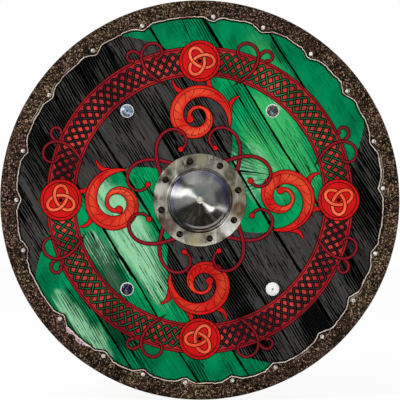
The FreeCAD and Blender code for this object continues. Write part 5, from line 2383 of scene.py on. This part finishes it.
def glowing(g: Graph, share: Fed, plain: Socket, tint: Sequence[float], strength: Fed) -> None:
    """Mixes light of its own into a surface.

    Args:
        g: The material's tree.
        share: The light's share.
        plain: The surface's shader without it.
        tint: The light's colour.
        strength: Its strength.
    """
    light = g.outputs(g.node("Emission", {"Color": tint, "Strength": strength}))[0]
    both = g.outputs(g.node("MixShader", (share, Value(g, plain), light)))[0]
    g.feed(g.tree.nodes["Material Output"].inputs["Surface"], both)


@dataclass(frozen=True)
class SkyPatch:
    """A soft-edged card or flag that only polished metal mirrors.

    It is placed as seen from the boss, in degrees: how far off the front it starts and ends, and which way
    round it lies at its start and at its end.
    """

    name: str
    off_front: Pair
    near: Pair
    far: Pair
    strength: float
    streaks: float = 0.0
    softness: float = 0.4
    reach: float = 1.6
    tint: Colour = Paint.WHITE.value

    def card(self) -> Mesh:
        """Draws the card.

        Returns:
            The mesh, which carries how deep and how far round each point lies.
        """
        draft = Draft()
        rows = []
        for depth in (k / 12 for k in range(13)):
            off = math.radians(between(self.off_front, depth))
            ends = [between(pair, depth) for pair in zip(self.near, self.far)]
            row = []
            for sweep in (k / 24 for k in range(25)):
                right, up = polar(math.radians(between(ends, sweep)), math.sin(off) * self.reach)
                point = Vector((right, -math.cos(off) * self.reach, up))
                row += draft.add_points([point], depth=depth, sweep=sweep)
            rows.append(row)
        draft.add_grid(rows)
        return draft.mesh(self.name)

    def build(self) -> None:
        """Hangs the card."""
        material, g = new_material(self.name)
        depth, sweep = g.attribute("depth"), g.attribute("sweep")
        fade = g.steps(g.least(depth, 1.0 - depth), 0.0, self.softness)
        fade = fade * g.steps(g.least(sweep, 1.0 - sweep), 0.0, self.softness)
        lines = g.noise(g.combine(sweep * 17.0, depth * 1.6, 0.0), 1.0, 3.0, 0.6)
        strength = g.steps(lines, 0.50, 0.74, self.strength, self.strength + self.streaks)
        glowing(g, fade, g.node("BsdfTransparent").outputs[0], self.tint, strength)
        mesh = self.card()
        mesh.materials.append(material)
        made = add_object(self.name, mesh)
        made.visible_camera = False
        made.visible_diffuse = False
        made.visible_shadow = False
        made.visible_transmission = False


@dataclass
class Studio:
    """Camera, soft lights, and a plain white floor and backdrop."""

    lens: float = 180.0
    sensor: float = 36.0
    half_view: float = 306.5 * MM
    sideways: float = 0.3 * MM
    floor_half: float = 6.0
    floor_gap: float = 1.0 * MM
    patches: Sequence[SkyPatch] = (
        SkyPatch("low_flag", (26, 134), (192, 352), (188, 350), 0.03, 0.30, 0.12, 1.7, (1, 0.9, 0.78, 1)),
        SkyPatch("right_flag", (44, 130), (-20, 30), (-24, 52), 0.12, 0.10, 0.3, 1.68, (0.86, 0.86, 1, 1)),
        SkyPatch("upper_glow", (60, 116), (70, 150), (70, 158), 0.62, 0.25, 0.3, 1.66),
        SkyPatch("left_dark", (40, 116), (96, 122), (142, 162), 0.10, 0.2, 0.4, 1.64),
        SkyPatch("left_wedge", (32, 120), (116, 160), (157, 190), 2.3, 1.2, 0.35, 1.6, (0.98, 0.98, 1, 1)),
        SkyPatch("low_card", (42, 74), (300, 332), (312, 344), 4.0, 0.0, 0.45, 1.58),
        SkyPatch("low_card_tail", (56, 112), (318, 330), (344, 360), 1.3, 0.6, 0.45, 1.57),
        SkyPatch("upper_card", (84, 104), (56, 66), (58, 66), 1.2, 0.0, 0.45, 1.56),
        SkyPatch("foot_card", (16, 38), (244, 344), (244, 344), 2.4, 0.6, 0.35, 1.55),
        SkyPatch("foot_card_left", (16, 36), (116, 204), (116, 204), 1.5, 0.4, 0.35, 1.54),
    )

    def camera(self) -> None:
        """Sets the camera straight in front of the shield."""
        data = bpy.data.cameras.new("front_camera")
        data.lens = self.lens
        data.sensor_width = self.sensor
        data.clip_end = 50
        made = add_object("front_camera", data)
        made.location = (self.sideways, -self.half_view * self.lens / (self.sensor / 2), 0)
        made.rotation_euler = (math.pi / 2, 0, 0)
        bpy.context.scene.camera = made

    def lamp(self, name: str, place: Sequence[float], size: float, power: float) -> None:
        """Adds a square soft light that looks at the boss.

        Args:
            name: The lamp's name.
            place: Where it stands.
            size: The length of its sides.
            power: Its power in watts.
        """
        data = bpy.data.lights.new(name, "AREA")
        data.size = size
        data.energy = power
        made = add_object(name, data)
        made.location = place
        made.rotation_euler = (-Vector(place)).to_track_quat("-Z", "Y").to_euler()
        made.visible_glossy = False

    def world(self) -> None:
        """Sets an even surround: white where it is seen, softer where it lights or is mirrored."""
        world = bpy.data.worlds.new("studio_world")
        world.use_nodes = True
        bpy.context.scene.world = world
        g = Graph(world.node_tree)
        background = world.node_tree.nodes["Background"].inputs
        g.feed(background["Color"], Paint.WHITE)
        unseen = g.ray("Is Glossy Ray") * -0.22 + 0.64
        g.feed(background["Strength"], g.blend(g.ray("Is Camera Ray"), unseen, 1.0))

    def floor(self) -> None:
        """Lays a white floor that keeps the shield's shadow."""
        draft = Draft()
        half, level = self.floor_half, -SHIELD_RADIUS - self.floor_gap
        corners = ((-half, -half), (half, -half), (half, half), (-half, half))
        draft.add_face(draft.add_points([Vector((x, y, level)) for x, y in corners]))
        material, g = new_material("studio_white")
        shader = material.node_tree.nodes["Principled BSDF"]
        g.feed(shader.inputs["Base Color"], (0.9, 0.9, 0.9, 1))
        g.feed(shader.inputs["Roughness"], 0.9)
        glowing(g, g.ray("Is Camera Ray") * 0.8, shader.outputs[0], Paint.WHITE.value, 1.08)
        mesh = draft.mesh("studio_floor")
        mesh.materials.append(material)
        made = add_object("studio_floor", mesh)
        made.visible_glossy = False

    def build(self) -> None:
        """Sets up everything round the shield."""
        self.camera()
        self.world()
        self.floor()
        for patch in self.patches:
            patch.build()
        self.lamp("key_light", (-1.6, -2.6, 1.8), 1.6, 44.0)
        self.lamp("fill_light", (2.2, -2.4, 0.3), 1.8, 16.0)
        bpy.context.scene.view_settings.view_transform = "Standard"


def main() -> None:
    """Builds and dresses every piece of the shield."""
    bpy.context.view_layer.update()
    Studio().build()
    planks = Planks()
    planks.build()
    JointGlue(planks.spans).build()
    Ornament(planks.seams).build()
    for maker in (RimHide, Boss, CoachBolts, Metalwork, Battens, ArmStrap, HandGrip):
        maker().build()


if __name__ == "__main__":
    main()
